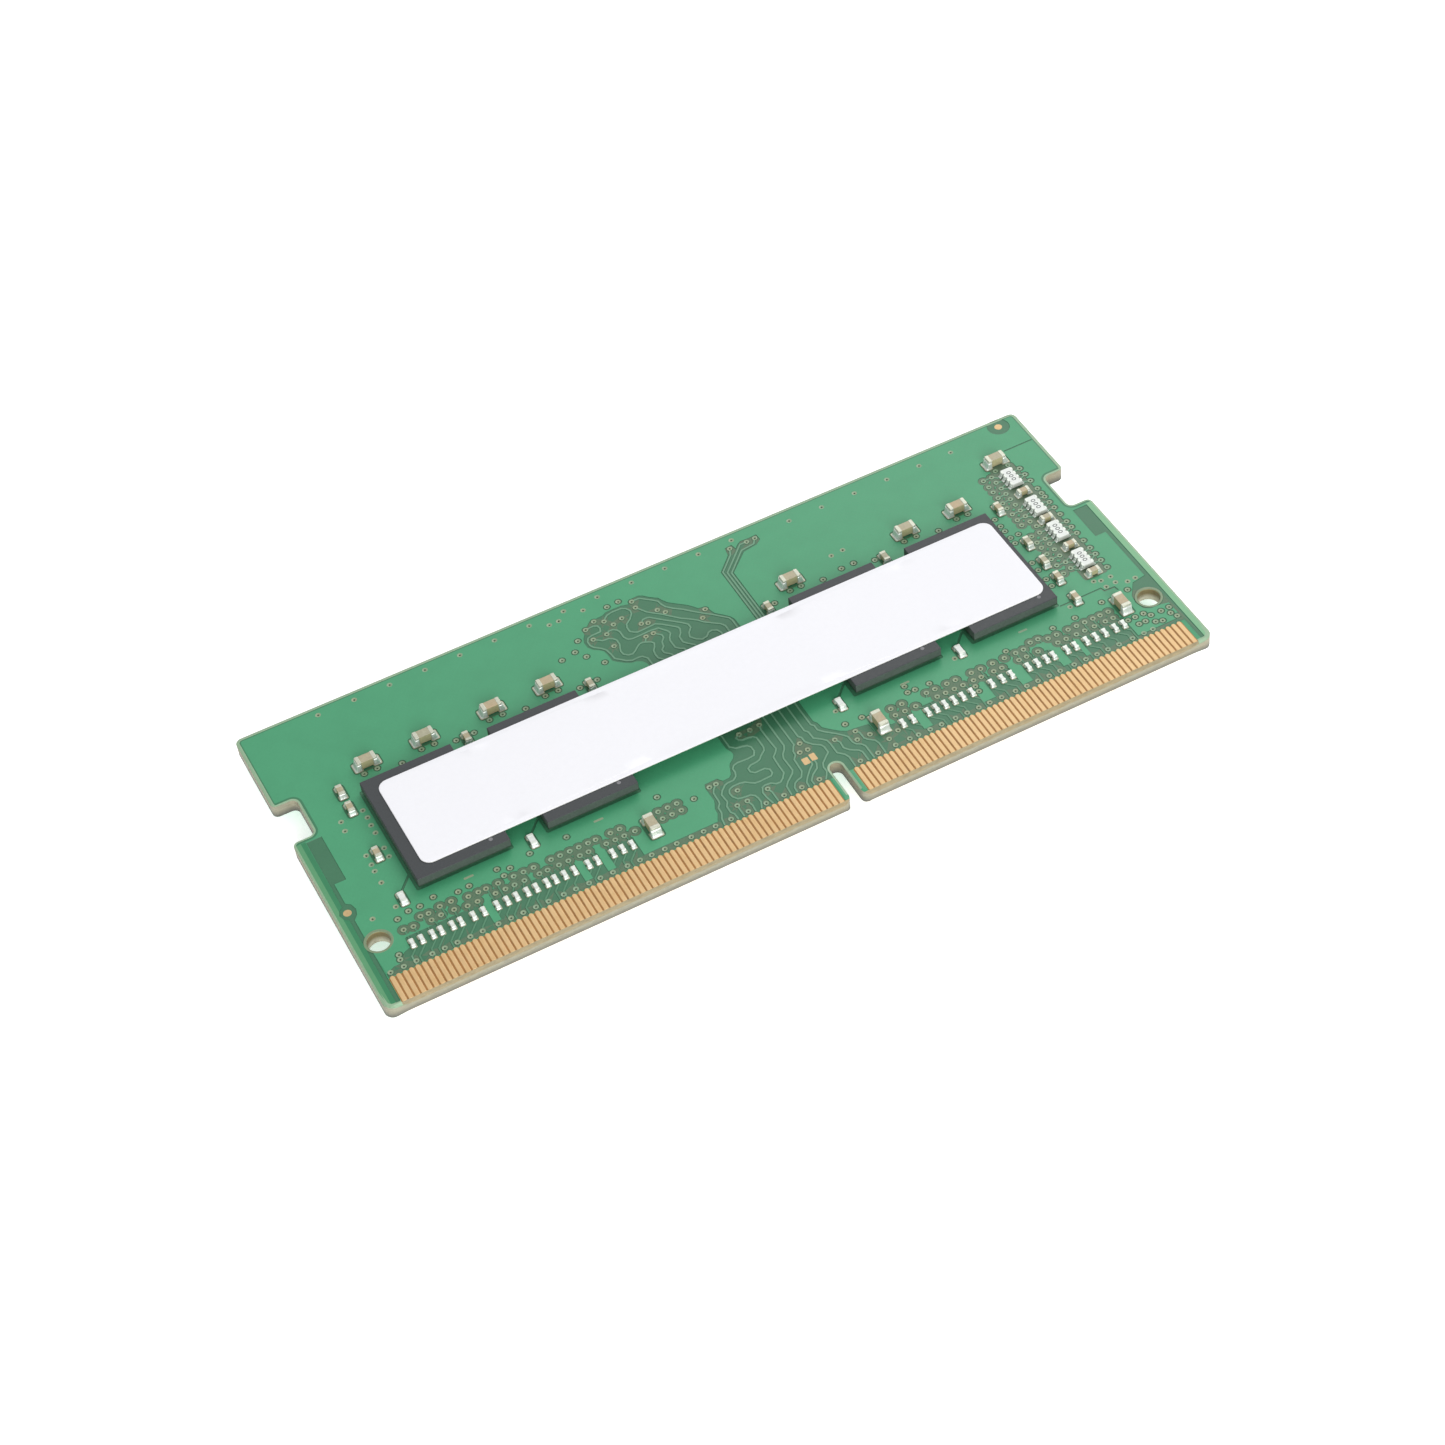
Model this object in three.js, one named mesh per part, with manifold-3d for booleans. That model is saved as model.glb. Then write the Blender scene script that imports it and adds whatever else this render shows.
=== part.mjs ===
// Double-sided small-outline memory module, 69.6 x 30 mm, with a 260-way edge
// contact row, eight memory packages, passives, an identification chip and a
// blank label. Millimetres. +X runs along the contact edge, +Y from the contact
// edge to the back edge, +Z up through the board. The origin is under the
// board's centre, on the plane that the four lower packages rest on.
import * as THREE from 'three';
import { mergeVertices, mergeGeometries } from 'three/addons/utils/BufferGeometryUtils.js';
import Module from 'manifold-3d';

const wasm = await Module();
wasm.setup();

// ---------- driving dimensions ----------
const BOARD_L = 69.6;          // length along the contact edge
const BOARD_W = 30.0;          // contact edge to back edge
const BOARD_T = 1.2;           // board thickness
const CORNER_R = 0.5;          // rounded board corners

const NOTCH_Y = 20.0;          // centre of the two latch notches, from the contact edge
const NOTCH_W = 4.0;           // width of a latch notch
const NOTCH_D = 1.9;           // depth of a latch notch
const NOTCH_R_IN = 0.5;        // radius at the notch floor
const NOTCH_R_OUT = 0.45;      // radius at the notch mouth

const KEY_X = 38.3;            // centre of the key slot, from the left end
const KEY_W = 1.0;             // width of the key slot
const KEY_H = 3.9;             // height of the key slot to the top of its round end
const KEY_EASE = 0.6;          // eased corners at the slot mouth

const EDGE_CHAMFER_Y = 0.2;    // bevel along the contact edge, both faces
const EDGE_CHAMFER_Z = 0.3;

const HOLE_D = 1.8;            // plated locating holes
const HOLE_Y = 6.1;
const HOLE_X = 2.0;            // from each end

const PITCH = 0.5;             // contact pitch
const PIN_W = 0.35;            // contact width
const PIN_Y0 = 0.2;            // contact end nearest the edge
const PIN_Y1 = 2.7;            // contact end at the solder mask
const PIN_T = 0.04;            // contact thickness
const LEFT_N = 72;             // contacts left of the key
const LEFT_X = 1.55;           // centre of the first one
const RIGHT_N = 58;            // contacts right of the key
const RIGHT_X = 39.55;         // centre of the first one
const TIE_Y0 = 2.45;           // tie strip that joins one row of contacts, sunk in the board
const TIE_D = 0.06;

const PKG_W = 7.5;             // memory package
const PKG_L = 11.0;
const PKG_H = 1.1;             // seated height, balls included
const BALL_H = 0.25;           // collapsed solder ball height
const SUB_T = 0.15;            // package substrate
const DIE = [5.6, 9.2, 0.3];   // silicon die
const BALL_FIELD_X = [1.375, 3.425];  // ball columns on each side of the centre line
const BALL_FIELD_Y = 5.025;
const PKG_X = [10.25, 20.8, 46.87, 57.3];
const PKG_Y = 14.46;

const LABEL = [7.47, 9.9, 60.68, 19.1];   // x0, y0, x1, y1
const LABEL_T = 0.1;
const LABEL_R = 0.85;

const SPD_POS = [28.1, 15.4];
const SPD = [2.0, 3.0, 0.75];

const CAP_L = [1.6, 0.8, 0.8];      // large capacitor: length, width, height
const CAP_L_END = 0.34;
const CAP_S = [1.0, 0.5, 0.5];      // small capacitor
const CAP_S_END = 0.25;
const RES_S = [1.0, 0.5, 0.35];     // small resistor
const RES_S_END = 0.22;

const CAPS_BACK_EDGE = [            // large capacitors along the back edge, x, y
  [7.93, 22.38], [12.75, 22.4], [18.43, 22.38], [23.2, 22.38],
  [44.55, 22.38], [55.03, 22.38], [59.8, 22.38], [65.25, 25.53]];
const CAPS_LOWER = [                // large capacitors across the board, x, y
  [23.8, 5.36], [43.22, 5.53], [65.3, 6.42]];
const CAPS_GAP = [                  // small capacitors beside the packages
  [5.09, 20.68], [15.575, 20.61], [26.08, 20.61], [41.69, 20.61], [52.17, 20.61], [62.66, 20.63]];
const CAPS_END = [                  // small capacitors at the two ends
  [5.09, 18.78], [5.1, 13.64], [62.64, 16.06], [62.64, 13.58]];
const RES_FRONT = [                 // small resistors in front of the packages
  [5.06, 8.8], [15.58, 8.8], [41.6, 8.8], [52.12, 8.8]];

const ARRAY = [1.04, 2.0, 0.45];    // four-element resistor array
const ARRAY_X = 65.35;
const ARRAY_Y = [23.12, 19.3, 15.95, 12.27];

// ---------- frame ----------
const Z0 = PKG_H;                   // underside of the board
const Z1 = PKG_H + BOARD_T;         // top of the board
const fx = (x) => x - BOARD_L / 2;
const fy = (y) => y - BOARD_W / 2;

// ---------- solids ----------
function solid(geometry) {
  const g = geometry.clone();
  g.deleteAttribute('normal');
  g.deleteAttribute('uv');
  const m = mergeVertices(g, 1e-5);
  return new wasm.Manifold(new wasm.Mesh({
    numProp: 3,
    vertProperties: Float32Array.from(m.attributes.position.array),
    triVerts: Uint32Array.from(m.index.array),
  }));
}
function back(manifold) {
  const mesh = manifold.getMesh();
  const pos = new Float32Array(mesh.numVert * 3);
  for (let i = 0; i < mesh.numVert; i++)
    for (let k = 0; k < 3; k++) pos[3 * i + k] = mesh.vertProperties[i * mesh.numProp + k];
  const g = new THREE.BufferGeometry();
  g.setAttribute('position', new THREE.BufferAttribute(pos, 3));
  g.setIndex(Array.from(mesh.triVerts));
  g.computeVertexNormals();
  return g;
}
function block(x0, y0, z0, x1, y1, z1) {
  const g = new THREE.BoxGeometry(x1 - x0, y1 - y0, z1 - z0);
  g.translate((x0 + x1) / 2, (y0 + y1) / 2, (z0 + z1) / 2);
  return solid(g);
}
function prismX(points, x0, x1) {      // a section in Y and Z, run along X
  const s = new THREE.Shape();
  points.forEach(([y, z], i) => (i ? s.lineTo(y, z) : s.moveTo(y, z)));
  s.closePath();
  const g = new THREE.ExtrudeGeometry(s, { depth: x1 - x0, bevelEnabled: false });
  const m = new THREE.Matrix4().makeBasis(
    new THREE.Vector3(0, 1, 0), new THREE.Vector3(0, 0, 1), new THREE.Vector3(1, 0, 0));
  g.applyMatrix4(m);
  g.translate(x0, 0, 0);
  return solid(g);
}
function union(list) {
  let r = list[0];
  for (let i = 1; i < list.length; i++) r = r.add(list[i]);
  return r;
}

const root = new THREE.Group();
function put(name, geometry, mat) {
  const m = new THREE.Mesh(geometry, mat);
  m.name = name;
  root.add(m);
  return m;
}
const mat = (color, roughness, metalness = 0) =>
  new THREE.MeshStandardMaterial({ color, roughness, metalness });
const M = {
  board: mat(0x549a78, 0.45),
  gold: mat(0xe8c488, 0.35, 0.9),
  mould: mat(0x46464c, 0.7),
  die: mat(0x8c9099, 0.3, 0.4),
  substrate: mat(0x2f5a44, 0.6),
  label: mat(0xf6f6fb, 0.65),
  cap: mat(0xb9a082, 0.5),
  res: mat(0xf2f4f2, 0.45),
  spd: mat(0x3a3a3e, 0.6),
};

// ---------- board ----------
function boardOutline() {
  const s = new THREE.Shape();
  const arcN = 4;
  const pts = [];
  const arc = (cx, cy, r, a0, a1, n = arcN) => {
    for (let i = 0; i <= n; i++) {
      const a = (a0 + (a1 - a0) * i / n) * Math.PI / 180;
      pts.push([cx + r * Math.cos(a), cy + r * Math.sin(a)]);
    }
  };
  const L = BOARD_L, W = BOARD_W, R = CORNER_R;
  const n0 = NOTCH_Y - NOTCH_W / 2, n1 = NOTCH_Y + NOTCH_W / 2;
  // contact edge, left to right, with the key slot
  arc(R, R, R, 180, 270);
  const k0 = KEY_X - KEY_W / 2, k1 = KEY_X + KEY_W / 2, kr = KEY_W / 2;
  arc(k0 - KEY_EASE, KEY_EASE, KEY_EASE, 270, 360);
  arc(KEY_X, KEY_H - kr, kr, 180, 0, 8);
  arc(k1 + KEY_EASE, KEY_EASE, KEY_EASE, 180, 270);
  arc(L - R, R, R, 270, 360);
  // right end, with its latch notch
  arc(L - NOTCH_R_OUT, n0 - NOTCH_R_OUT, NOTCH_R_OUT, 0, 90, 3);
  arc(L - NOTCH_D + NOTCH_R_IN, n0 + NOTCH_R_IN, NOTCH_R_IN, 270, 180, 3);
  arc(L - NOTCH_D + NOTCH_R_IN, n1 - NOTCH_R_IN, NOTCH_R_IN, 180, 90, 3);
  arc(L - NOTCH_R_OUT, n1 + NOTCH_R_OUT, NOTCH_R_OUT, 270, 360, 3);
  arc(L - R, W - R, R, 0, 90);
  // back edge and left end
  arc(R, W - R, R, 90, 180);
  arc(NOTCH_R_OUT, n1 + NOTCH_R_OUT, NOTCH_R_OUT, 180, 270, 3);
  arc(NOTCH_D - NOTCH_R_IN, n1 - NOTCH_R_IN, NOTCH_R_IN, 90, 0, 3);
  arc(NOTCH_D - NOTCH_R_IN, n0 + NOTCH_R_IN, NOTCH_R_IN, 360, 270, 3);
  arc(NOTCH_R_OUT, n0 - NOTCH_R_OUT, NOTCH_R_OUT, 90, 180, 3);
  pts.forEach(([x, y], i) => (i ? s.lineTo(fx(x), fy(y)) : s.moveTo(fx(x), fy(y))));
  s.closePath();
  for (const hx of [HOLE_X, BOARD_L - HOLE_X]) {
    const h = new THREE.Path();
    for (let i = 0; i < 20; i++) {
      const a = -2 * Math.PI * i / 20;
      const p = [fx(hx) + HOLE_D / 2 * Math.cos(a), fy(HOLE_Y) + HOLE_D / 2 * Math.sin(a)];
      i ? h.lineTo(...p) : h.moveTo(...p);
    }
    h.closePath();
    s.holes.push(h);
  }
  return s;
}
const boardGeo = new THREE.ExtrudeGeometry(boardOutline(), { depth: BOARD_T, bevelEnabled: false });
boardGeo.translate(0, 0, Z0);
let board = solid(boardGeo);
// the contact edge is bevelled on both faces, to enter the socket
{
  const x0 = fx(-1), x1 = fx(BOARD_L + 1), e = 0.5;
  const cy = EDGE_CHAMFER_Y, cz = EDGE_CHAMFER_Z, k = cz / cy;
  board = board.subtract(prismX([[fy(-e), Z1 - cz - k * e], [fy(cy + e), Z1 + k * e], [fy(-e), Z1 + k * e]], x0, x1));
  board = board.subtract(prismX([[fy(-e), Z0 + cz + k * e], [fy(-e), Z0 - k * e], [fy(cy + e), Z0 - k * e]], x0, x1));
}
const rows = [
  ['left', LEFT_X, LEFT_N],
  ['right', RIGHT_X, RIGHT_N],
];
const rowSpan = (x, n) => [fx(x - PIN_W / 2), fx(x + (n - 1) * PITCH + PIN_W / 2)];
for (const [, x, n] of rows) {
  const [a, b] = rowSpan(x, n);
  // bare laminate round the contacts lies below the solder mask
  board = board.subtract(block(a - 0.08, fy(-1), Z1 - PIN_T, b + 0.08, fy(PIN_Y1), Z1 + 1));
  board = board.subtract(block(a - 0.08, fy(-1), Z0 - 1, b + 0.08, fy(PIN_Y1), Z0 + PIN_T));
  // groove for the tie strip
  board = board.subtract(block(a, fy(TIE_Y0), Z1 - PIN_T - TIE_D, b, fy(PIN_Y1), Z1 + 0.5));
  board = board.subtract(block(a, fy(TIE_Y0), Z0 - 0.5, b, fy(PIN_Y1), Z0 + PIN_T + TIE_D));
}
put('circuit_board', back(board), M.board);

// ---------- edge contacts ----------
for (const [side, x, n] of rows) {
  const [a, b] = rowSpan(x, n);
  for (const face of ['front', 'back']) {
    const up = face === 'front';
    const s = new THREE.Shape();
    // fingers as one outline, closed along the inner ends
    s.moveTo(a, fy(PIN_Y1));
    for (let i = 0; i < n; i++) {
      const c = fx(x + i * PITCH);
      const l = c - PIN_W / 2, r = c + PIN_W / 2;
      if (i) s.lineTo(l, fy(PIN_Y1 - 0.12));
      s.lineTo(l, fy(PIN_Y0));
      s.lineTo(r, fy(PIN_Y0));
      if (i < n - 1) s.lineTo(r, fy(PIN_Y1 - 0.12));
    }
    s.lineTo(b, fy(PIN_Y1));
    s.closePath();
    const g = new THREE.ExtrudeGeometry(s, { depth: PIN_T, bevelEnabled: false });
    g.translate(0, 0, up ? Z1 - PIN_T : Z0);
    const tie = up
      ? block(a, fy(TIE_Y0), Z1 - PIN_T - TIE_D, b, fy(PIN_Y1), Z1 - PIN_T + 0.01)
      : block(a, fy(TIE_Y0), Z0 + PIN_T - 0.01, b, fy(PIN_Y1), Z0 + PIN_T + TIE_D);
    put(`contacts_${face}_${side}`, back(solid(g).add(tie)), M.gold);
  }
}

// ---------- memory packages ----------
function memoryPackage(tag, cx, cy, up) {
  const zb = up ? Z1 : Z0;                 // board face it is soldered to
  const s = up ? 1 : -1;
  const z = (h) => zb + s * h;
  const lay = (x0, y0, h0, x1, y1, h1) =>
    block(cx + x0, cy + y0, Math.min(z(h0), z(h1)), cx + x1, cy + y1, Math.max(z(h0), z(h1)));
  const w = PKG_W / 2, l = PKG_L / 2;
  const hs = BALL_H + SUB_T;
  const [dx, dy, dz] = DIE;
  const mould = lay(-w, -l, hs, w, l, PKG_H)
    .subtract(lay(-dx / 2, -dy / 2, hs - 0.5, dx / 2, dy / 2, hs + dz));
  put(`dram_mould_${tag}`, back(mould), M.mould);
  put(`dram_die_${tag}`, back(lay(-dx / 2, -dy / 2, hs, dx / 2, dy / 2, hs + dz)), M.die);
  const [b0, b1] = BALL_FIELD_X;
  const sub = union([
    lay(-w, -l, BALL_H, w, l, hs),
    lay(-b1, -BALL_FIELD_Y, 0, -b0, BALL_FIELD_Y, BALL_H + 0.02),
    lay(b0, -BALL_FIELD_Y, 0, b1, BALL_FIELD_Y, BALL_H + 0.02)]);
  put(`dram_substrate_${tag}`, back(sub), M.substrate);
}
PKG_X.forEach((x, i) => memoryPackage(`front_${i + 1}`, fx(x), fy(PKG_Y), true));
PKG_X.forEach((x, i) => memoryPackage(`back_${i + 1}`, fx(x), fy(PKG_Y), false));

// ---------- label ----------
{
  const [x0, y0, x1, y1] = LABEL;
  const s = new THREE.Shape();
  const pts = [];
  const arc = (cx, cy, a0) => {
    for (let i = 0; i <= 6; i++) {
      const a = (a0 + 90 * i / 6) * Math.PI / 180;
      pts.push([fx(cx + LABEL_R * Math.cos(a)), fy(cy + LABEL_R * Math.sin(a))]);
    }
  };
  arc(x1 - LABEL_R, y1 - LABEL_R, 0);
  arc(x0 + LABEL_R, y1 - LABEL_R, 90);
  arc(x0 + LABEL_R, y0 + LABEL_R, 180);
  arc(x1 - LABEL_R, y0 + LABEL_R, 270);
  pts.forEach((p, i) => (i ? s.lineTo(...p) : s.moveTo(...p)));
  s.closePath();
  const g = new THREE.ExtrudeGeometry(s, { depth: LABEL_T, bevelEnabled: false });
  g.translate(0, 0, Z1 + PKG_H);
  put('label', back(solid(g)), M.label);
}

// ---------- identification chip ----------
{
  const [cx, cy] = [fx(SPD_POS[0]), fy(SPD_POS[1])];
  const [w, l, h] = SPD;
  const parts = [block(cx - w / 2, cy - l / 2, Z1 + 0.05, cx + w / 2, cy + l / 2, Z1 + h)];
  for (let i = 0; i < 4; i++) {
    const px = cx - 0.75 + 0.5 * i;
    parts.push(block(px - 0.12, cy - l / 2, Z1, px + 0.12, cy - l / 2 + 0.4, Z1 + 0.06));
    parts.push(block(px - 0.12, cy + l / 2 - 0.4, Z1, px + 0.12, cy + l / 2, Z1 + 0.06));
  }
  put('spd_chip', back(union(parts)), M.spd);
}

// ---------- two-terminal parts ----------
function twoTerminal(name, x, y, [len, wid, hgt], end, along, material) {
  const cx = fx(x), cy = fy(y), z = Z1, t = 0.025;
  const bar = (u0, v0, z0, u1, v1, z1) => along === 'x'
    ? block(cx + u0, cy + v0, z + z0, cx + u1, cy + v1, z + z1)
    : block(cx + v0, cy + u0, z + z0, cx + v1, cy + u1, z + z1);
  const body = bar(-len / 2 + 0.05, -wid / 2 + t, t, len / 2 - 0.05, wid / 2 - t, hgt - t);
  const e1 = bar(-len / 2, -wid / 2, 0, -len / 2 + end, wid / 2, hgt);
  const e2 = bar(len / 2 - end, -wid / 2, 0, len / 2, wid / 2, hgt);
  put(name, back(union([body, e1, e2])), material);
}
CAPS_BACK_EDGE.forEach(([x, y], i) =>
  twoTerminal(`capacitor_rear_${i + 1}`, x, y, CAP_L, CAP_L_END, 'x', M.cap));
CAPS_LOWER.forEach(([x, y], i) =>
  twoTerminal(`capacitor_lower_${i + 1}`, x, y, CAP_L, CAP_L_END, 'y', M.cap));
CAPS_GAP.forEach(([x, y], i) =>
  twoTerminal(`capacitor_gap_${i + 1}`, x, y, CAP_S, CAP_S_END, 'y', M.cap));
CAPS_END.forEach(([x, y], i) =>
  twoTerminal(`capacitor_end_${i + 1}`, x, y, CAP_S, CAP_S_END, 'y', M.cap));
RES_FRONT.forEach(([x, y], i) =>
  twoTerminal(`resistor_${i + 1}`, x, y, RES_S, RES_S_END, 'y', M.res));

// ---------- resistor arrays ----------
ARRAY_Y.forEach((y, k) => {
  const cx = fx(ARRAY_X), cy = fy(y);
  const [w, l, h] = ARRAY;
  const parts = [block(cx - w / 2 + 0.04, cy - l / 2, Z1 + 0.02, cx + w / 2 - 0.04, cy + l / 2, Z1 + h - 0.02)];
  for (let i = 0; i < 4; i++) {
    const py = cy - 0.75 + 0.5 * i;
    parts.push(block(cx - w / 2, py - 0.15, Z1, cx - w / 2 + 0.22, py + 0.15, Z1 + h));
    parts.push(block(cx + w / 2 - 0.22, py - 0.15, Z1, cx + w / 2, py + 0.15, Z1 + h));
  }
  put(`resistor_array_${k + 1}`, back(union(parts)), M.res);
});

export default root;
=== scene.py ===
import bpy, bmesh, math, random
import numpy as np
from mathutils import Vector, Matrix
from mathutils.geometry import delaunay_2d_cdt


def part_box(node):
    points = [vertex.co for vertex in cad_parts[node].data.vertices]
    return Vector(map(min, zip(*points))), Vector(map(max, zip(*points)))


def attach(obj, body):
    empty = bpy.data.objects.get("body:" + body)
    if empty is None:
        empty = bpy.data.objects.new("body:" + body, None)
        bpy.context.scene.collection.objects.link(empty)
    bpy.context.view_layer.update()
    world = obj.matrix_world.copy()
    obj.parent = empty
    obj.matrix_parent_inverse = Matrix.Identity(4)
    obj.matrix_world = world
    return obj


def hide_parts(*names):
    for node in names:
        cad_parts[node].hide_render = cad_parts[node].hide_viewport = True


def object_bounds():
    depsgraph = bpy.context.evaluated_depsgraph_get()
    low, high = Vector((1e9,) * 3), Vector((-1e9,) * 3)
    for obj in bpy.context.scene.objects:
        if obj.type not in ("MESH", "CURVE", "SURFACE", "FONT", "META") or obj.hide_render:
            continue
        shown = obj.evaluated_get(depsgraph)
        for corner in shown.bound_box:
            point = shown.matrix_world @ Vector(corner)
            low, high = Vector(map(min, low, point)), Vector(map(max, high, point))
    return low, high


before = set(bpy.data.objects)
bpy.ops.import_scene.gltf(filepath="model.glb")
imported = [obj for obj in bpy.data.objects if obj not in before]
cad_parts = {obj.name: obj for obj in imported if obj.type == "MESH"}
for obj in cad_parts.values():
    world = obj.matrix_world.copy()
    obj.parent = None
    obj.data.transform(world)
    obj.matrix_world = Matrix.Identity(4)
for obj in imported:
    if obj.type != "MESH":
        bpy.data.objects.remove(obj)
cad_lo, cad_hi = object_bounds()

random.seed(7)
rng = np.random.default_rng(11)

# ---------------------------------------------------------------- frame
# everything below is written in board millimetres: x from the left end, y from the contact
# edge, z from the underside of the board; the CAD board gives the place of that origin
B_LO, B_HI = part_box("circuit_board")
BL = (B_HI.x - B_LO.x) * 1000.0
BW = (B_HI.y - B_LO.y) * 1000.0
BT = (B_HI.z - B_LO.z) * 1000.0


def P(x, y, z):
    return (B_LO.x + x * 1e-3, B_LO.y + y * 1e-3, B_LO.z + z * 1e-3)


def node_mm(name):
    lo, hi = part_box(name)
    f = lambda v: ((v.x - B_LO.x) * 1000, (v.y - B_LO.y) * 1000, (v.z - B_LO.z) * 1000)
    return f(lo), f(hi)


def srgb(r, g, b):
    def f(c):
        c = c / 255.0
        return c / 12.92 if c <= 0.04045 else ((c + 0.055) / 1.055) ** 2.4
    return (f(r), f(g), f(b), 1.0)


# ---------------------------------------------------------------- materials
def new_mat(name):
    m = bpy.data.materials.new(name)
    m.use_nodes = True
    nt = m.node_tree
    for n in list(nt.nodes):
        nt.nodes.remove(n)
    out = nt.nodes.new("ShaderNodeOutputMaterial")
    bs = nt.nodes.new("ShaderNodeBsdfPrincipled")
    nt.links.new(bs.outputs[0], out.inputs[0])
    return m, nt, bs


def coords(nt):
    return nt.nodes.new("ShaderNodeTexCoord").outputs["Object"]


def noise(nt, scale, detail=4.0, rough=0.55, vec=None, dist=0.0):
    n = nt.nodes.new("ShaderNodeTexNoise")
    n.inputs["Scale"].default_value = scale
    n.inputs["Detail"].default_value = detail
    n.inputs["Roughness"].default_value = rough
    n.inputs["Distortion"].default_value = dist
    nt.links.new(vec if vec is not None else coords(nt), n.inputs["Vector"])
    return n.outputs["Fac"]


def ramp(nt, fac, stops):
    r = nt.nodes.new("ShaderNodeValToRGB")
    e = r.color_ramp.elements
    e[0].position, e[0].color = stops[0]
    e[1].position, e[1].color = stops[-1]
    for pos, col in stops[1:-1]:
        k = e.new(pos)
        k.color = col
    nt.links.new(fac, r.inputs[0])
    return r.outputs[0]


def mix(nt, a, b, fac, mode="MIX"):
    m = nt.nodes.new("ShaderNodeMix")
    m.data_type = "RGBA"
    m.blend_type = mode
    if hasattr(fac, "links"):
        nt.links.new(fac, m.inputs[0])
    else:
        m.inputs[0].default_value = fac
    for k, v in ((6, a), (7, b)):
        if hasattr(v, "links"):
            nt.links.new(v, m.inputs[k])
        else:
            m.inputs[k].default_value = v
    return m.outputs[2]


def maprange(nt, v, a, b, c, d):
    m = nt.nodes.new("ShaderNodeMapRange")
    m.inputs[1].default_value, m.inputs[2].default_value = a, b
    m.inputs[3].default_value, m.inputs[4].default_value = c, d
    nt.links.new(v, m.inputs[0])
    return m.outputs[0]


def mathn(nt, op, a, b=None):
    m = nt.nodes.new("ShaderNodeMath")
    m.operation = op
    for k, v in ((0, a), (1, b)):
        if v is None:
            continue
        if hasattr(v, "links"):
            nt.links.new(v, m.inputs[k])
        else:
            m.inputs[k].default_value = v
    return m.outputs[0]


def bump(nt, bs, height, dist_m, strength=1.0):
    b = nt.nodes.new("ShaderNodeBump")
    b.inputs["Strength"].default_value = strength
    b.inputs["Distance"].default_value = dist_m
    nt.links.new(height, b.inputs["Height"])
    nt.links.new(b.outputs[0], bs.inputs["Normal"])


def sep_xyz(nt):
    s = nt.nodes.new("ShaderNodeSeparateXYZ")
    nt.links.new(coords(nt), s.inputs[0])
    return s.outputs


def shade(c, k):
    return (c[0] * k, c[1] * k, c[2] * k, 1.0)


def grainy(name, col, rough=0.5, var=0.10, scale=1500.0, fine=9000.0, metallic=0.0,
           bump_m=2e-6, rough_var=0.08, tint=None, coat=0.0, spec=0.5, fine_amt=0.5):
    """colour with slow and fine variation, matching roughness variation and a fine bump"""
    m, nt, bs = new_mat(name)
    vec = coords(nt)
    slow = noise(nt, scale * 0.12, 3, 0.5, vec)
    mid = noise(nt, scale, 5, 0.6, vec)
    fin = noise(nt, fine, 2, 0.5, vec)
    f = mathn(nt, "ADD", mathn(nt, "MULTIPLY", mid, 1 - fine_amt), mathn(nt, "MULTIPLY", fin, fine_amt))
    c = ramp(nt, f, [(0.3, shade(col, 1 - var)), (0.7, shade(col, 1 + var))])
    t = tint or shade(col, 0.93)
    c = mix(nt, c, t, maprange(nt, slow, 0.35, 0.75, 0.0, 0.5))
    nt.links.new(c, bs.inputs["Base Color"])
    nt.links.new(maprange(nt, mid, 0.3, 0.7, rough - rough_var, rough + rough_var), bs.inputs["Roughness"])
    bs.inputs["Metallic"].default_value = metallic
    bs.inputs["Specular IOR Level"].default_value = spec
    if coat:
        bs.inputs["Coat Weight"].default_value = coat
        bs.inputs["Coat Roughness"].default_value = 0.25
    bump(nt, bs, f, bump_m)
    return m


def mask_mat(name, col, rough=0.42, var=0.035, weave=0.02, mott=0.04, spec=0.4):
    """solder mask: even lacquer with faint glass weave, slow mottling and specks of dust"""
    m, nt, bs = new_mat(name)
    vec = coords(nt)
    s = sep_xyz(nt)
    wx = mathn(nt, "SINE", mathn(nt, "MULTIPLY", s[0], 2 * math.pi / 0.00047))
    wy = mathn(nt, "SINE", mathn(nt, "MULTIPLY", s[1], 2 * math.pi / 0.00052))
    wv = mathn(nt, "MULTIPLY", wx, wy)
    slow = noise(nt, 55.0, 3, 0.5, vec)
    fin = noise(nt, 5200.0, 3, 0.6, vec)
    base = ramp(nt, fin, [(0.28, shade(col, 1 - var)), (0.72, shade(col, 1 + var))])
    c = mix(nt, base, shade(col, 1 - weave * 4), maprange(nt, wv, -1.0, 1.0, 0.0, 0.25))
    c = mix(nt, c, (col[0] * 1.12, col[1] * 0.98, col[2] * 1.02, 1), maprange(nt, slow, 0.38, 0.7, 0.0, mott * 10))
    cloud = noise(nt, 420.0, 4, 0.6, vec)
    c = mix(nt, c, shade(col, 0.86), maprange(nt, cloud, 0.40, 0.75, 0.0, 0.45))
    nt.links.new(c, bs.inputs["Base Color"])
    nt.links.new(maprange(nt, fin, 0.3, 0.7, rough - 0.05, rough + 0.06), bs.inputs["Roughness"])
    bs.inputs["Specular IOR Level"].default_value = spec
    h = mathn(nt, "ADD", mathn(nt, "MULTIPLY", wv, 0.25), fin)
    bump(nt, bs, h, 1.2e-6)
    return m


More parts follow.
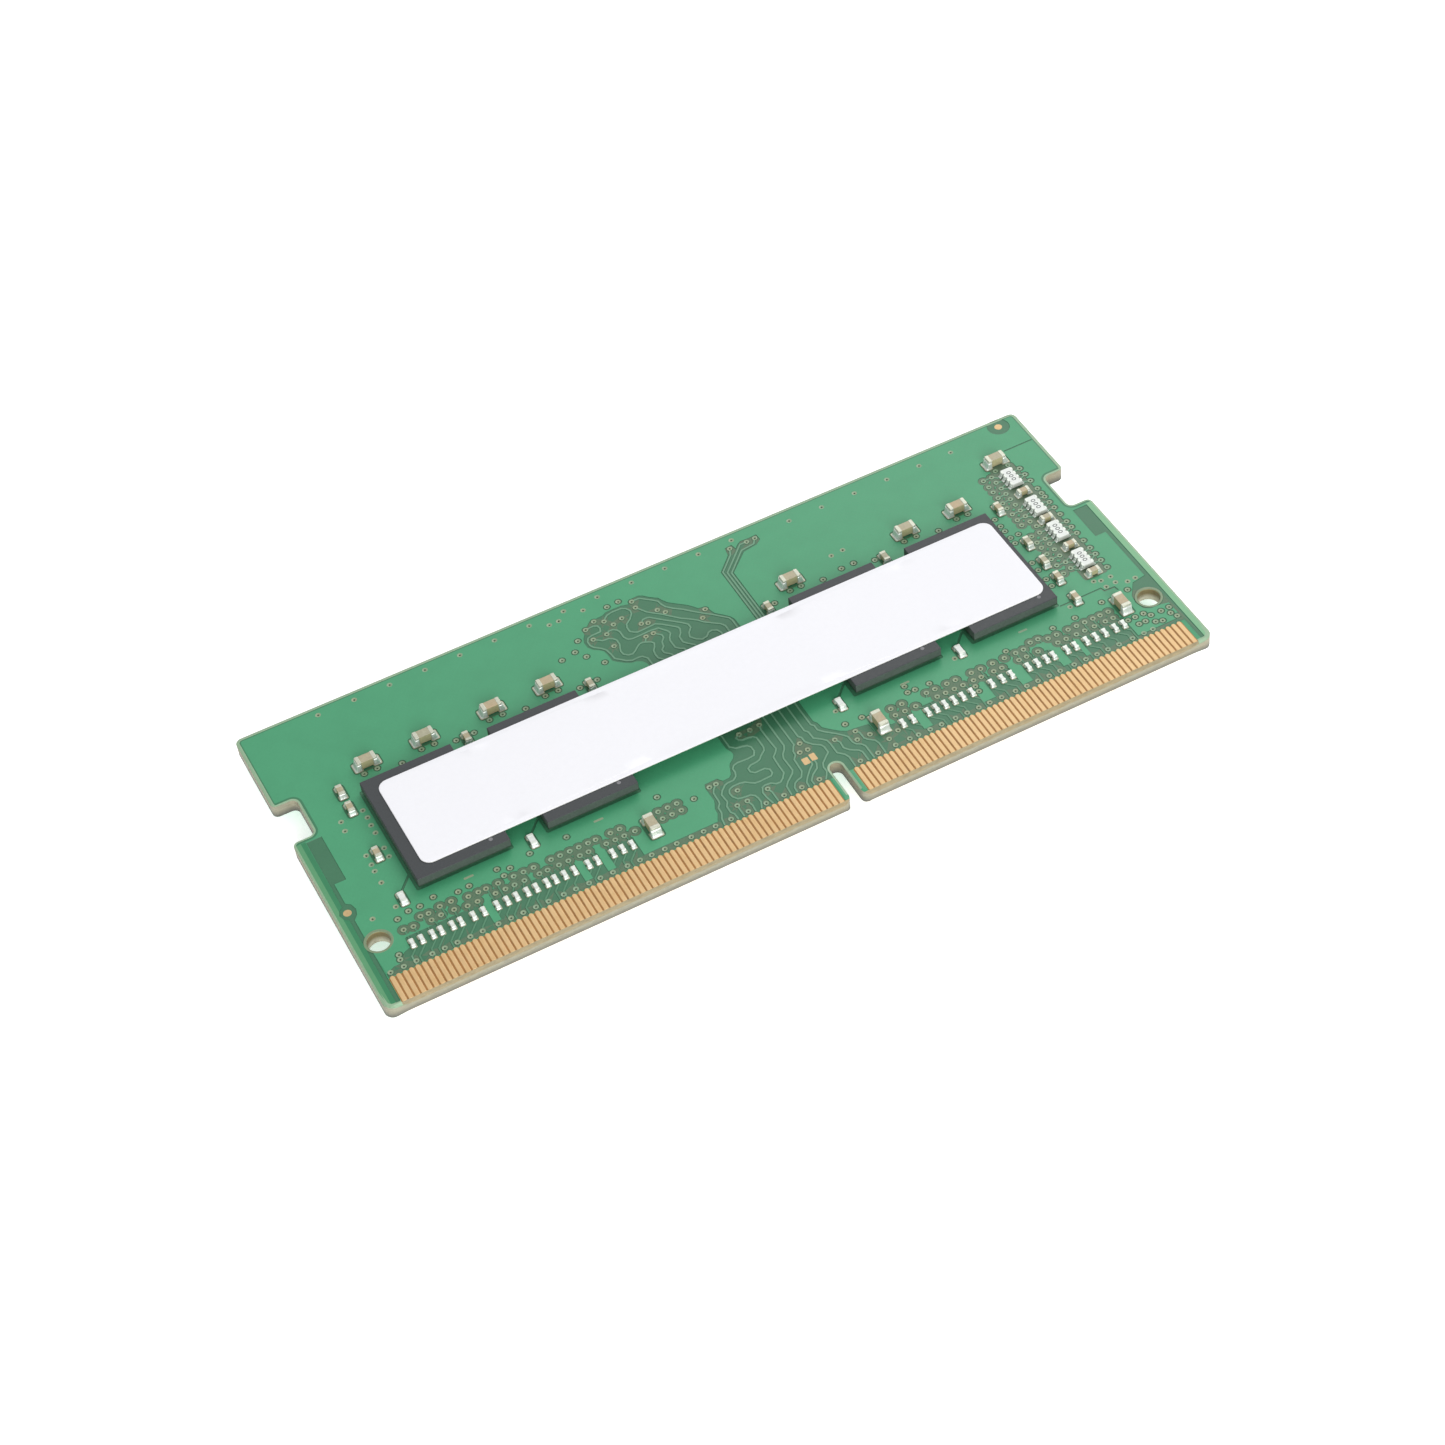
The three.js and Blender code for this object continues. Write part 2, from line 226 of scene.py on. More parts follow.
C_POUR = (70, 155, 112)
C_BARE = (60, 116, 85)
MB = {}
MB["pour"] = mask_mat("mask_over_copper", srgb(*C_POUR))
MB["bare"] = mask_mat("mask_over_laminate", srgb(*C_BARE), var=0.06)
MB["trace"] = mask_mat("mask_over_trace", srgb(104, 152, 122), var=0.05)
# mask on the slope beside copper edges, darker than the bare mask: painted shade of the slope
MB["edge"] = mask_mat("mask_copper_step_painted_shade", srgb(52, 104, 76), var=0.08)
MB["brown"] = mask_mat("mask_over_dense_wiring", srgb(92, 117, 93), var=0.14)
MB["tracef"] = mask_mat("mask_over_fan_out", srgb(80, 134, 102), var=0.06)
MB["rim"] = mask_mat("mask_thin_at_rim", srgb(146, 178, 146), var=0.12)
MB["rimline"] = mask_mat("mask_beside_rim", srgb(56, 122, 87), var=0.08)
MB["band"] = mask_mat("mask_thin_border", srgb(120, 178, 134), var=0.05)
MB["bandl"] = mask_mat("mask_left_border", srgb(88, 153, 108), var=0.05)
MB["band2"] = mask_mat("mask_inner_border", srgb(48, 129, 87), var=0.05)
MB["ring"] = grainy("tented_via_ring", srgb(130, 158, 128), rough=0.4, var=0.12, scale=1300, tint=srgb(158, 152, 118))
MB["halo"] = mask_mat("mask_round_vias", srgb(84, 113, 86), var=0.20)
MB["pit"] = grainy("via_pit", srgb(82, 97, 74), rough=0.7, var=0.2, scale=5000)
MB["tin"] = grainy("bare_pad_metal", srgb(198, 168, 122), rough=0.42, var=0.12, metallic=0.4, scale=3000)


def plating_mat():
    """tinned wall of a locating hole: dull and dark towards the top, bare laminate-pale lower down"""
    m, nt, bs = new_mat("hole_plating")
    vec = coords(nt)
    f = noise(nt, 1800.0, 4, 0.6, vec)
    z = sep_xyz(nt)[2]
    top, low = srgb(124, 110, 70), srgb(206, 200, 180)
    c = mix(nt, low, top, maprange(nt, z, B_LO.z + 0.00030, B_LO.z + 0.00070, 0.0, 1.0))
    c = mix(nt, c, srgb(168, 160, 118), maprange(nt, z, B_LO.z + 0.00104, B_LO.z + 0.00116, 0.0, 0.8))
    c = mix(nt, c, shade(top, 0.7), maprange(nt, f, 0.5, 0.75, 0.0, 0.5))
    nt.links.new(c, bs.inputs["Base Color"])
    nt.links.new(maprange(nt, f, 0.3, 0.7, 0.36, 0.52), bs.inputs["Roughness"])
    bs.inputs["Metallic"].default_value = 0.2
    bump(nt, bs, f, 5e-6)
    return m


MB["plate"] = plating_mat()
MB["holerim"] = grainy("hole_rim", srgb(120, 140, 108), rough=0.42, var=0.12, scale=1800)


def laminate_mat(name, col, glint=0.35):
    """cut glass-fibre laminate: fibre strata along the board, broken glass glints, resin tint, and painted shade
    darkening it towards the underside
    """
    m, nt, bs = new_mat(name)
    vec = coords(nt)
    mp = nt.nodes.new("ShaderNodeMapping")
    mp.inputs["Scale"].default_value = (1.0, 1.0, 5.0)
    nt.links.new(vec, mp.inputs[0])
    strata = noise(nt, 1400.0, 5, 0.65, mp.outputs[0])
    fin = noise(nt, 9000.0, 3, 0.7, vec)
    slow = noise(nt, 260.0, 3, 0.6, vec)
    c = ramp(nt, strata, [(0.28, shade(col, 0.74)), (0.5, col), (0.72, shade(col, 1.16))])
    c = mix(nt, c, (col[0] * 1.12, col[1] * 1.0, col[2] * 0.80, 1), maprange(nt, slow, 0.45, 0.75, 0.0, 0.6))
    c = mix(nt, c, srgb(206, 204, 192), maprange(nt, fin, 0.60, 0.74, 0.0, glint))
    low = maprange(nt, sep_xyz(nt)[2], B_LO.z + 0.00012, B_LO.z + 0.00072, 1.0, 0.0)     # painted shade: darker towards the underside
    c = mix(nt, c, (col[0] * 0.36, col[1] * 0.38, col[2] * 0.44, 1), low)
    nt.links.new(c, bs.inputs["Base Color"])
    nt.links.new(maprange(nt, fin, 0.3, 0.7, 0.75, 0.45), bs.inputs["Roughness"])
    bump(nt, bs, mathn(nt, "ADD", strata, mathn(nt, "MULTIPLY", fin, 0.6)), 9e-6)
    return m


MB["lam"] = laminate_mat("laminate_edge", srgb(145, 142, 122))
# laminate between the contact fingers: its orange-brown, darker than the edge laminate, is partly laminate tone and
# partly painted shade between the raised fingers
MB["lamtop"] = laminate_mat("laminate_between_contacts", srgb(158, 112, 58), 0.06)
MB["bevel"] = laminate_mat("laminate_bevel", srgb(150, 137, 105), 0.20)

M_GOLD = None


def gold_mat():
    m, nt, bs = new_mat("contact_gold")
    vec = coords(nt)
    mp = nt.nodes.new("ShaderNodeMapping")
    mp.inputs["Scale"].default_value = (1.0, 0.12, 1.0)      # fine lines along each finger
    nt.links.new(vec, mp.inputs[0])
    brush = noise(nt, 9000.0, 4, 0.6, mp.outputs[0])
    blot = noise(nt, 900.0, 4, 0.6, vec)
    slow = noise(nt, 90.0, 2, 0.5, vec)
    gold = srgb(214, 179, 129)
    c = ramp(nt, brush, [(0.3, shade(gold, 0.90)), (0.7, shade(gold, 1.06))])
    c = mix(nt, c, srgb(202, 162, 106), maprange(nt, blot, 0.45, 0.7, 0.0, 0.55))
    c = mix(nt, c, srgb(218, 186, 138), maprange(nt, slow, 0.4, 0.65, 0.0, 0.6))
    nt.links.new(c, bs.inputs["Base Color"])
    nt.links.new(maprange(nt, brush, 0.3, 0.7, 0.44, 0.56), bs.inputs["Roughness"])
    bs.inputs["Metallic"].default_value = 0.32
    bump(nt, bs, brush, 1.5e-6)
    return m


M_GOLD = gold_mat()
M_MOULD = grainy("mould_compound", srgb(59, 63, 66), rough=0.52, var=0.22, scale=5200, fine=14000,
                 bump_m=4e-6, tint=srgb(58, 61, 64), spec=0.45)
# package side walls: rougher than the top, and their lighter green-grey colour is painted light and painted reflection
# of the green board
M_SAWN_SIDE_PAINTED_REFLECTION = grainy("mould_sawn_side_painted_reflection", srgb(76, 87, 80), rough=0.66, var=0.22, scale=5200, fine=14000,
                bump_m=6e-6, tint=srgb(70, 78, 74), spec=0.3)
M_MARK = grainy("laser_mark", srgb(128, 128, 132), rough=0.7, var=0.12, scale=7000)
M_SUB = grainy("package_substrate", srgb(44, 66, 50), rough=0.55, var=0.15, scale=2500)
M_BALL = grainy("solder_ball", srgb(176, 178, 180), rough=0.30, var=0.10, metallic=0.9, scale=3000)
M_SOLDER = grainy("solder_fillet", srgb(222, 228, 222), rough=0.34, var=0.10, metallic=0.5, scale=2600,
                  bump_m=5e-6, rough_var=0.10)
M_TERMR = grainy("resistor_terminal", srgb(216, 222, 214), rough=0.42, var=0.08, metallic=0.25, scale=3200,
                 bump_m=4e-6, rough_var=0.08)
M_TERM = grainy("plated_terminal", srgb(196, 198, 182), rough=0.42, var=0.12, metallic=0.4, scale=3200,
                bump_m=4e-6, rough_var=0.10)
M_PAD = grainy("tinned_pad", srgb(176, 176, 150), rough=0.40, var=0.15, metallic=0.5, scale=2600)
# one capacitor ceramic painted as two copies: a browner copy on the sides for painted shade, a greyer copy on the top
# for painted light
M_CAP_SIDES_PAINTED_SHADE = grainy("capacitor_ceramic", srgb(174, 168, 130), rough=0.50, var=0.14, scale=2200, fine=7000,
               tint=srgb(160, 146, 106), bump_m=4e-6)
M_CAP_TOP_PAINTED_LIT = grainy("capacitor_ceramic_top_painted_lit", srgb(168, 166, 141), rough=0.42, var=0.16, scale=2200, fine=7000,
                  tint=srgb(202, 156, 108), bump_m=4e-6)
M_RES = grainy("resistor_ceramic", srgb(206, 210, 203), rough=0.45, var=0.06, scale=3000, bump_m=3e-6)
M_RESTOP = grainy("resistor_glaze", srgb(224, 229, 225), rough=0.35, var=0.08, scale=2600, bump_m=2e-6)
M_PRINT = grainy("array_print", srgb(96, 100, 100), rough=0.6, var=0.2, scale=6000)
M_SPD = grainy("small_package_mould", srgb(58, 58, 63), rough=0.55, var=0.2, scale=5200)
M_LABEL = None


def label_mat(name, col, spec=0.35):
    m, nt, bs = new_mat(name)
    vec = coords(nt)
    fib = noise(nt, 2600.0, 6, 0.7, vec, 0.6)
    fin = noise(nt, 9000.0, 2, 0.5, vec)
    slow = noise(nt, 60.0, 2, 0.5, vec)
    c = ramp(nt, fib, [(0.3, shade(col, 0.975)), (0.7, col)])
    c = mix(nt, c, shade(col, 0.97), maprange(nt, slow, 0.4, 0.7, 0.0, 0.5))
    nt.links.new(c, bs.inputs["Base Color"])
    nt.links.new(maprange(nt, fin, 0.3, 0.7, 0.52, 0.64), bs.inputs["Roughness"])
    bs.inputs["Specular IOR Level"].default_value = 0.35
    bump(nt, bs, mathn(nt, "ADD", fib, mathn(nt, "MULTIPLY", fin, 0.4)), 2.5e-6)
    return m


M_LABEL = label_mat("label_paper", srgb(242, 242, 247))
M_LABEL_E = label_mat("label_cut_edge", srgb(216, 215, 210))
M_DIE = grainy("silicon_die", srgb(120, 124, 132), rough=0.25, var=0.06, metallic=0.4, scale=1200)


# ---------------------------------------------------------------- mesh builder
class Geo:
    def __init__(self):
        self.v, self.f, self.m, self.s = [], [], [], []

    def add(self, verts, faces, mat=0, smooth=False):
        n = len(self.v)
        self.v.extend(verts)
        for f in faces:
            self.f.append(tuple(i + n for i in f))
            self.m.append(mat)
            self.s.append(smooth)

    def loft(self, rings, mats=0, smooth=True, cap0=True, cap1=True, capmat=None, flat=()):
        """rings: lists of points, all of one length; faces between them, and end caps"""
        n = len(rings[0])
        b = len(self.v)
        for r in rings:
            self.v.extend(r)
        for k in range(len(rings) - 1):
            mk = mats[k] if isinstance(mats, (list, tuple)) else mats
            for i in range(n):
                j = (i + 1) % n
                self.f.append((b + k * n + i, b + k * n + j, b + (k + 1) * n + j, b + (k + 1) * n + i))
                self.m.append(mk)
                self.s.append(smooth and k not in flat)
        m0 = mats[0] if isinstance(mats, (list, tuple)) else mats
        m1 = mats[-1] if isinstance(mats, (list, tuple)) else mats
        if cap0:
            self.f.append(tuple(b + i for i in reversed(range(n))))
            self.m.append(m0)
            self.s.append(False)
        if cap1:
            self.f.append(tuple(b + (len(rings) - 1) * n + i for i in range(n)))
            self.m.append(capmat if capmat is not None else m1)
            self.s.append(False)


def rrect(cx, cy, hx, hy, r, z, n=3):
    r = max(1e-4, min(r, hx - 1e-4, hy - 1e-4))
    pts = []
    for (sx, sy, a0) in ((1, 1, 0), (-1, 1, 90), (-1, -1, 180), (1, -1, 270)):
        for i in range(n + 1):
            a = math.radians(a0 + 90.0 * i / n)
            pts.append((cx + sx * (hx - r) + r * math.cos(a), cy + sy * (hy - r) + r * math.sin(a), z))
    return pts


def circle(cx, cy, r, z, n, ph=0.0):
    return [(cx + r * math.cos(2 * math.pi * i / n + ph), cy + r * math.sin(2 * math.pi * i / n + ph), z)
            for i in range(n)]


def make(name, geo, mats, replaces=(), tf=None, merge=False):
    me = bpy.data.meshes.new(name)
    vs = geo.v if tf is None else [tf(*v) for v in geo.v]
    me.from_pydata([P(*v) for v in vs], [], geo.f)
    for m in mats:
        me.materials.append(m)
    me.polygons.foreach_set("material_index", np.array(geo.m, np.int32))
    me.polygons.foreach_set("use_smooth", np.array(geo.s, bool))
    me.update()
    bm = bmesh.new()
    bm.from_mesh(me)
    if merge:
        bmesh.ops.remove_doubles(bm, verts=bm.verts, dist=1e-7)
    bmesh.ops.recalc_face_normals(bm, faces=bm.faces)
    bm.to_mesh(me)
    bm.free()
    o = bpy.data.objects.new(name, me)
    bpy.context.scene.collection.objects.link(o)
    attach(o, "root")
    if replaces:
        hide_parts(*replaces)
    return o


# ---------------------------------------------------------------- board data (mm)
KEY_X, KEY_W, KEY_H, KEY_EASE = 38.3, 1.0, 3.9, 0.6
HOLE_R, HOLE_X, HOLE_Y, RING_R = 0.9, 2.0, 6.1, 1.10
NOTCH_Y, NOTCH_W, NOTCH_D, NR_IN, NR_OUT = 20.0, 4.0, 1.9, 0.5, 0.45
PITCH, PIN_W, PIN_Y0, PIN_Y1 = 0.5, 0.35, 0.2, 2.7
ROWS = (("left", 1.55, 72), ("right", 39.55, 58))
PKG_X = [10.25, 20.8, 46.87, 57.3]
PKG_Y, PKG_W, PKG_L, PKG_H, BALL_H, SUB_T = 14.46, 7.5, 11.0, 1.1, 0.25, 0.15
DIE = (5.6, 9.2, 0.3)
LABEL = (7.47, 9.9, 60.68, 19.1)

CAPS_BACK_EDGE = [(7.93, 22.38), (12.75, 22.4), (18.43, 22.38), (23.2, 22.38),
                  (44.55, 22.38), (55.03, 22.38), (59.8, 22.38), (65.25, 25.53)]
CAPS_LOWER = [(23.8, 5.36), (43.22, 5.53), (65.3, 6.42)]
CAPS_GAP = [(5.09, 20.68), (15.575, 20.61), (26.08, 20.61), (41.69, 20.61), (52.17, 20.61), (62.66, 20.63)]
CAPS_END = [(5.09, 18.78), (5.1, 13.64), (62.64, 16.06), (62.64, 13.58)]
RES_FRONT = [(5.06, 8.8), (15.58, 8.8), (41.6, 8.8), (52.12, 8.8)]
ARRAY_X, ARRAY_Y = 65.35, [23.12, 19.3, 15.95, 12.27]
CAPS_BETWEEN = [(65.35, 21.24), (65.34, 17.65), (65.34, 14.07), (65.35, 10.6)]
CAPS_EXTRA = [(62.64, 11.5), (62.64, 8.9)]
ROW_X = [4.03, 4.78, 5.64, 6.32, 7.22, 7.90, 8.90, 9.73, 10.80, 11.60, 12.36, 13.22, 13.95, 14.81, 15.49,
         16.26, 17.05, 18.19, 18.92, 20.19, 21.0, 21.8, 44.70, 45.56, 46.89, 47.6, 48.38, 49.17, 49.93,
         50.75, 52.49, 53.42, 54.25, 55.75, 56.55, 57.35, 58.01, 59.19, 59.97, 60.96, 61.79, 62.63, 63.56,
         64.34]
ROW_Y = 4.62

V_CONTACT = [1.63, 2.68, 3.67, 4.92, 5.91, 6.91, 7.93, 8.92, 10.18, 11.19, 12.17, 13.19, 14.2, 15.43, 16.42,
             17.48, 18.41, 19.43, 20.62, 21.65, 22.61, 23.69, 24.68, 25.89, 26.91, 27.9, 29.2, 30.65, 32.16,
             33.66, 35.16, 36.65, 40.16, 41.68, 43.2, 44.43, 45.18, 46.2, 47.18, 48.4, 49.42, 50.44, 51.41,
             52.45, 53.68, 54.68, 55.67, 56.68, 57.65, 58.9, 59.96, 60.96, 61.94, 62.94, 64.16, 65.2, 66.01]
V_57 = ([(x, 5.72) for x in (8.92, 9.72, 11.17, 11.97, 12.7, 13.5, 14.72, 15.38, 16.31, 17.08, 18.02, 18.73,
                             20.19, 20.93, 21.67, 22.56, 24.86, 25.65, 26.42)]
        + [(x, 5.65) for x in (44.65, 45.48, 46.43, 48.31, 49.05, 49.82, 50.58, 51.52, 52.2, 53.31, 54.02,
                               55.56, 56.24, 57.26, 59.05, 59.8, 60.72, 61.48, 62.35, 63.34, 64.05)]
        + [(6.11, 5.89), (6.91, 5.97), (7.93, 5.92), (3.99, 6.12), (4.73, 6.03)])
V_65 = ([(x, 6.49) for x in (9.33, 10.13, 10.74, 11.72, 12.99, 13.78, 14.6, 16.03, 16.77, 17.56, 18.3, 19.06,
                             19.68, 20.91, 21.67, 24.86, 25.65, 26.42)]
        + [(x, 6.41) for x in (44.68, 45.64, 47.8, 48.55, 49.6, 50.36, 51.77, 52.58, 53.66, 54.71, 55.72,
                               56.42, 58.64, 59.4, 60.44, 61.2, 61.94, 62.68, 63.34, 64.08)]
        + [(5.55, 6.63), (6.17, 6.57), (7.14, 6.74), (8.05, 6.74), (57.25, 6.77), (57.93, 6.77)])
V_LOW = [(2.42, 8.22), (4.35, 8.39), (3.99, 7.25), (4.98, 7.54), (5.89, 7.51), (7.08, 7.79), (8.86, 7.29),
         (9.78, 7.37), (12.19, 7.73), (13.08, 7.34), (12.4, 6.91), (14.92, 7.84), (17.93, 7.85),
         (25.43, 7.82), (2.78, 4.18), (2.7, 3.73), (27.73, 6.23), (29.24, 6.63), (29.8, 6.66),
         (30.9, 5.26), (30.2, 3.96), (31.05, 3.96), (32.9, 4.22), (36.66, 6.14), (37.31, 6.09),
         (37.09, 6.94), (33.58, 10.18), (34.49, 10.14), (35.34, 10.23), (39.53, 5.89), (40.95, 6.85),
         (42.38, 6.8), (41.27, 5.83), (40.99, 5.01), (42.06, 4.98), (40.98, 8.39), (46.6, 7.2),
         (47.23, 7.17), (48.48, 7.14), (46.7, 7.88), (51.32, 5.04), (51.3, 4.47), (51.44, 8.37),
         (44.08, 4.22), (43.08, 3.82), (55.18, 6.96), (59.52, 7.16), (61.55, 7.21), (61.86, 8.41),
         (64.19, 7.55), (66.63, 7.65), (65.4, 9.57), (66.28, 9.57), (65.4, 8.78), (66.27, 8.83),
         (67.12, 8.41), (67.84, 8.43), (64.87, 9.8), (64.89, 4.82), (65.54, 4.84), (66.29, 4.82),
         (66.69, 4.38), (67.6, 4.35), (68.35, 4.37), (65.41, 4.04), (65.98, 4.04), (66.63, 3.6),
         (67.15, 3.41), (68.11, 3.78), (68.38, 3.26)]
V_RIGHT = ([(63.35, y) for y in (24.17, 23.31, 22.63, 21.85, 21.13, 20.45, 19.63, 18.85, 18.17, 16.65, 15.83,
                                 15.15, 14.33, 13.65, 12.83, 11.78)]
           + [(64.13, y) for y in (24.2, 23.47, 22.67, 21.93, 21.22, 20.45, 19.67, 18.9, 18.17, 16.69, 15.87,
                                   15.19, 14.46, 13.65, 12.78, 12.0)]
           + [(64.3, 17.45), (64.67, 17.3), (64.78, 24.67), (66.0, 24.76)]
           + [(66.6, y) for y in (23.9, 23.08, 22.22, 21.13, 20.5, 20.0, 19.28, 18.54, 17.63, 16.65, 15.92,
                                  15.1, 14.1, 13.13, 12.33, 11.51, 10.6)]
           + [(61.85, y) for y in (19.85, 18.95, 18.3, 17.4, 16.7, 14.1, 13.15, 11.96, 11.1)]
           + [(62.6, 17.43)])
V_LEFT = [(5.86, 18.23), (5.9, 17.4), (5.83, 16.55), (5.83, 15.7), (5.8, 14.0), (5.8, 13.05), (4.0, 18.03),
          (3.91, 17.05), (4.36, 14.0), (4.36, 13.0), (4.32, 12.3), (4.32, 11.04)]
V_UPPER = ([(x, 29.05) for x in (6.64, 9.68, 12.68, 15.7, 18.7, 21.7, 24.72, 27.72, 30.7, 33.74, 36.72, 39.74,
                                 42.73)]
           + [(x, 28.54) for x in (47.74, 50.73, 53.77, 56.8, 59.82, 62.8)]
           + [(26.12, 28.27), (26.94, 28.27), (29.1, 28.32), (30.88, 27.64), (31.9, 27.7), (29.3, 26.75),
              (28.35, 26.27), (29.99, 26.33), (32.82, 27.13), (32.79, 26.39), (31.35, 25.9),
              (30.49, 25.64), (27.3, 25.5), (28.41, 25.0), (29.57, 24.96), (26.59, 24.52), (25.34, 24.27),
              (27.16, 23.62), (29.51, 23.51), (28.13, 22.32), (32.4, 24.55), (32.9, 24.35),
              (34.16, 25.23), (34.6, 24.69), (32.1, 23.1), (32.76, 23.13), (37.42, 23.3), (36.83, 22.56),
              (42.18, 28.27), (43.7, 28.24), (44.46, 28.27), (48.73, 23.24), (49.81, 23.32),
              (48.73, 21.55), (49.84, 21.57)]
           + [(x, 21.55) for x in (7.39, 8.46, 12.15, 13.22, 17.87, 18.98, 22.63, 23.73, 44.09, 45.08, 54.46,
                                   55.57, 59.3, 60.33)]
           + [(10.3, 21.04), (20.76, 21.15), (46.9, 21.24), (57.4, 21.15), (14.8, 20.98), (16.3, 20.98),
              (25.3, 20.9), (26.8, 20.98), (42.4, 20.98), (51.45, 20.98)])

# wiring in view above the label (back edge side)
UP = {
    "A": [(31.24, 19.5), (31.2, 20.97), (30.92, 21.34), (30.66, 21.42), (30.08, 21.39), (29.66, 21.6), (29.24, 22.02), (28.97, 22.28), (28.92, 22.86), (28.82, 23.44), (28.55, 23.81), (28.08, 24.23), (27.92, 24.55), (27.92, 25.02), (28.13, 25.36), (28.5, 25.47), (29.26, 25.49), (29.4, 25.81), (29.34, 26.18), (29.03, 26.34), (28.35, 26.27)],
    "B": [(28.41, 25.0), (28.71, 24.76), (28.97, 24.52), (29.5, 24.47), (29.82, 24.23), (29.97, 23.97), (29.97, 23.44), (29.82, 23.07), (29.71, 22.71), (29.76, 22.34), (30.03, 22.07), (30.39, 21.99), (30.71, 22.18), (30.97, 22.42), (31.29, 22.65), (31.6, 22.7), (31.8, 22.6), (32.18, 22.39), (32.34, 22.13), (32.18, 21.76), (31.95, 21.44), (31.87, 20.97), (31.9, 20.55), (32.18, 20.23), (32.4, 19.5)],
    "B2": [(32.1, 23.1), (31.8, 22.6)],
    "C": [(29.57, 24.96), (29.87, 25.2), (30.18, 25.18), (30.45, 24.97), (30.58, 24.65), (30.58, 23.97), (30.76, 23.6), (31.08, 23.47), (31.76, 23.47), (32.55, 23.52), (33.34, 23.44), (33.62, 23.05), (33.87, 22.7), (33.9, 22.39), (33.63, 22.02), (33.53, 21.7), (33.55, 20.86), (33.82, 20.55), (34.08, 20.39), (34.3, 19.5)],
    "D": [(29.99, 26.33), (30.21, 26.6), (30.5, 26.84), (30.97, 26.94), (31.76, 26.92), (32.08, 26.7), (32.29, 26.34), (32.24, 25.97), (31.87, 25.49), (31.39, 25.13), (31.26, 24.76), (31.26, 24.28), (31.5, 24.05), (31.76, 23.89), (32.55, 23.92), (33.34, 23.97), (33.76, 23.65), (34.29, 23.13), (34.71, 22.7), (34.76, 22.44), (34.6, 22.02), (34.34, 21.7), (34.32, 21.07), (34.6, 20.7), (34.97, 20.34), (35.2, 19.5)],
    "E": [(32.4, 24.55), (32.7, 24.9), (33.0, 24.92), (33.24, 24.86), (33.66, 24.44), (34.13, 23.97), (34.76, 23.39), (35.24, 22.92), (35.55, 22.55), (35.55, 22.13), (35.18, 21.7), (35.03, 21.28), (35.34, 20.81), (35.76, 20.52), (36.18, 20.6), (36.5, 20.92), (36.82, 20.99), (37.18, 20.81), (37.34, 20.44), (37.37, 19.5)],
    "F": [(32.79, 26.39), (33.08, 25.92), (33.34, 25.49), (33.71, 25.13), (34.24, 24.65), (34.76, 24.07), (35.34, 23.44), (35.87, 23.02), (36.39, 22.55), (36.7, 22.13), (37.13, 21.76), (37.76, 21.23), (37.97, 20.86), (37.97, 19.5)],
    "G": [(32.82, 27.13), (33.08, 27.18), (33.5, 27.15), (33.82, 26.86), (34.34, 26.39), (34.63, 26.07), (34.71, 25.6), (34.87, 25.23), (35.29, 24.76), (35.92, 24.23), (36.5, 23.6), (36.92, 23.18), (37.3, 22.8), (37.6, 22.55), (38.18, 21.92), (38.6, 21.5), (38.71, 21.13), (38.71, 19.5)],
    "H": [(32.76, 23.13), (33.03, 22.86), (33.26, 22.6), (33.24, 22.28), (32.92, 21.92), (32.82, 21.44), (32.55, 21.18), (32.55, 20.81), (32.97, 20.39), (33.2, 19.5)],
    "N1": [(40.78, 19.5), (40.78, 25.95), (42.5, 27.67), (43.1, 28.27), (43.7, 28.24)],
    "N2": [(41.05, 19.5), (41.05, 25.75), (42.9, 27.6), (44.1, 27.75), (44.46, 28.27)],
    "N3": [(40.5, 19.5), (40.5, 26.2), (41.9, 27.6), (42.18, 28.27)],
}
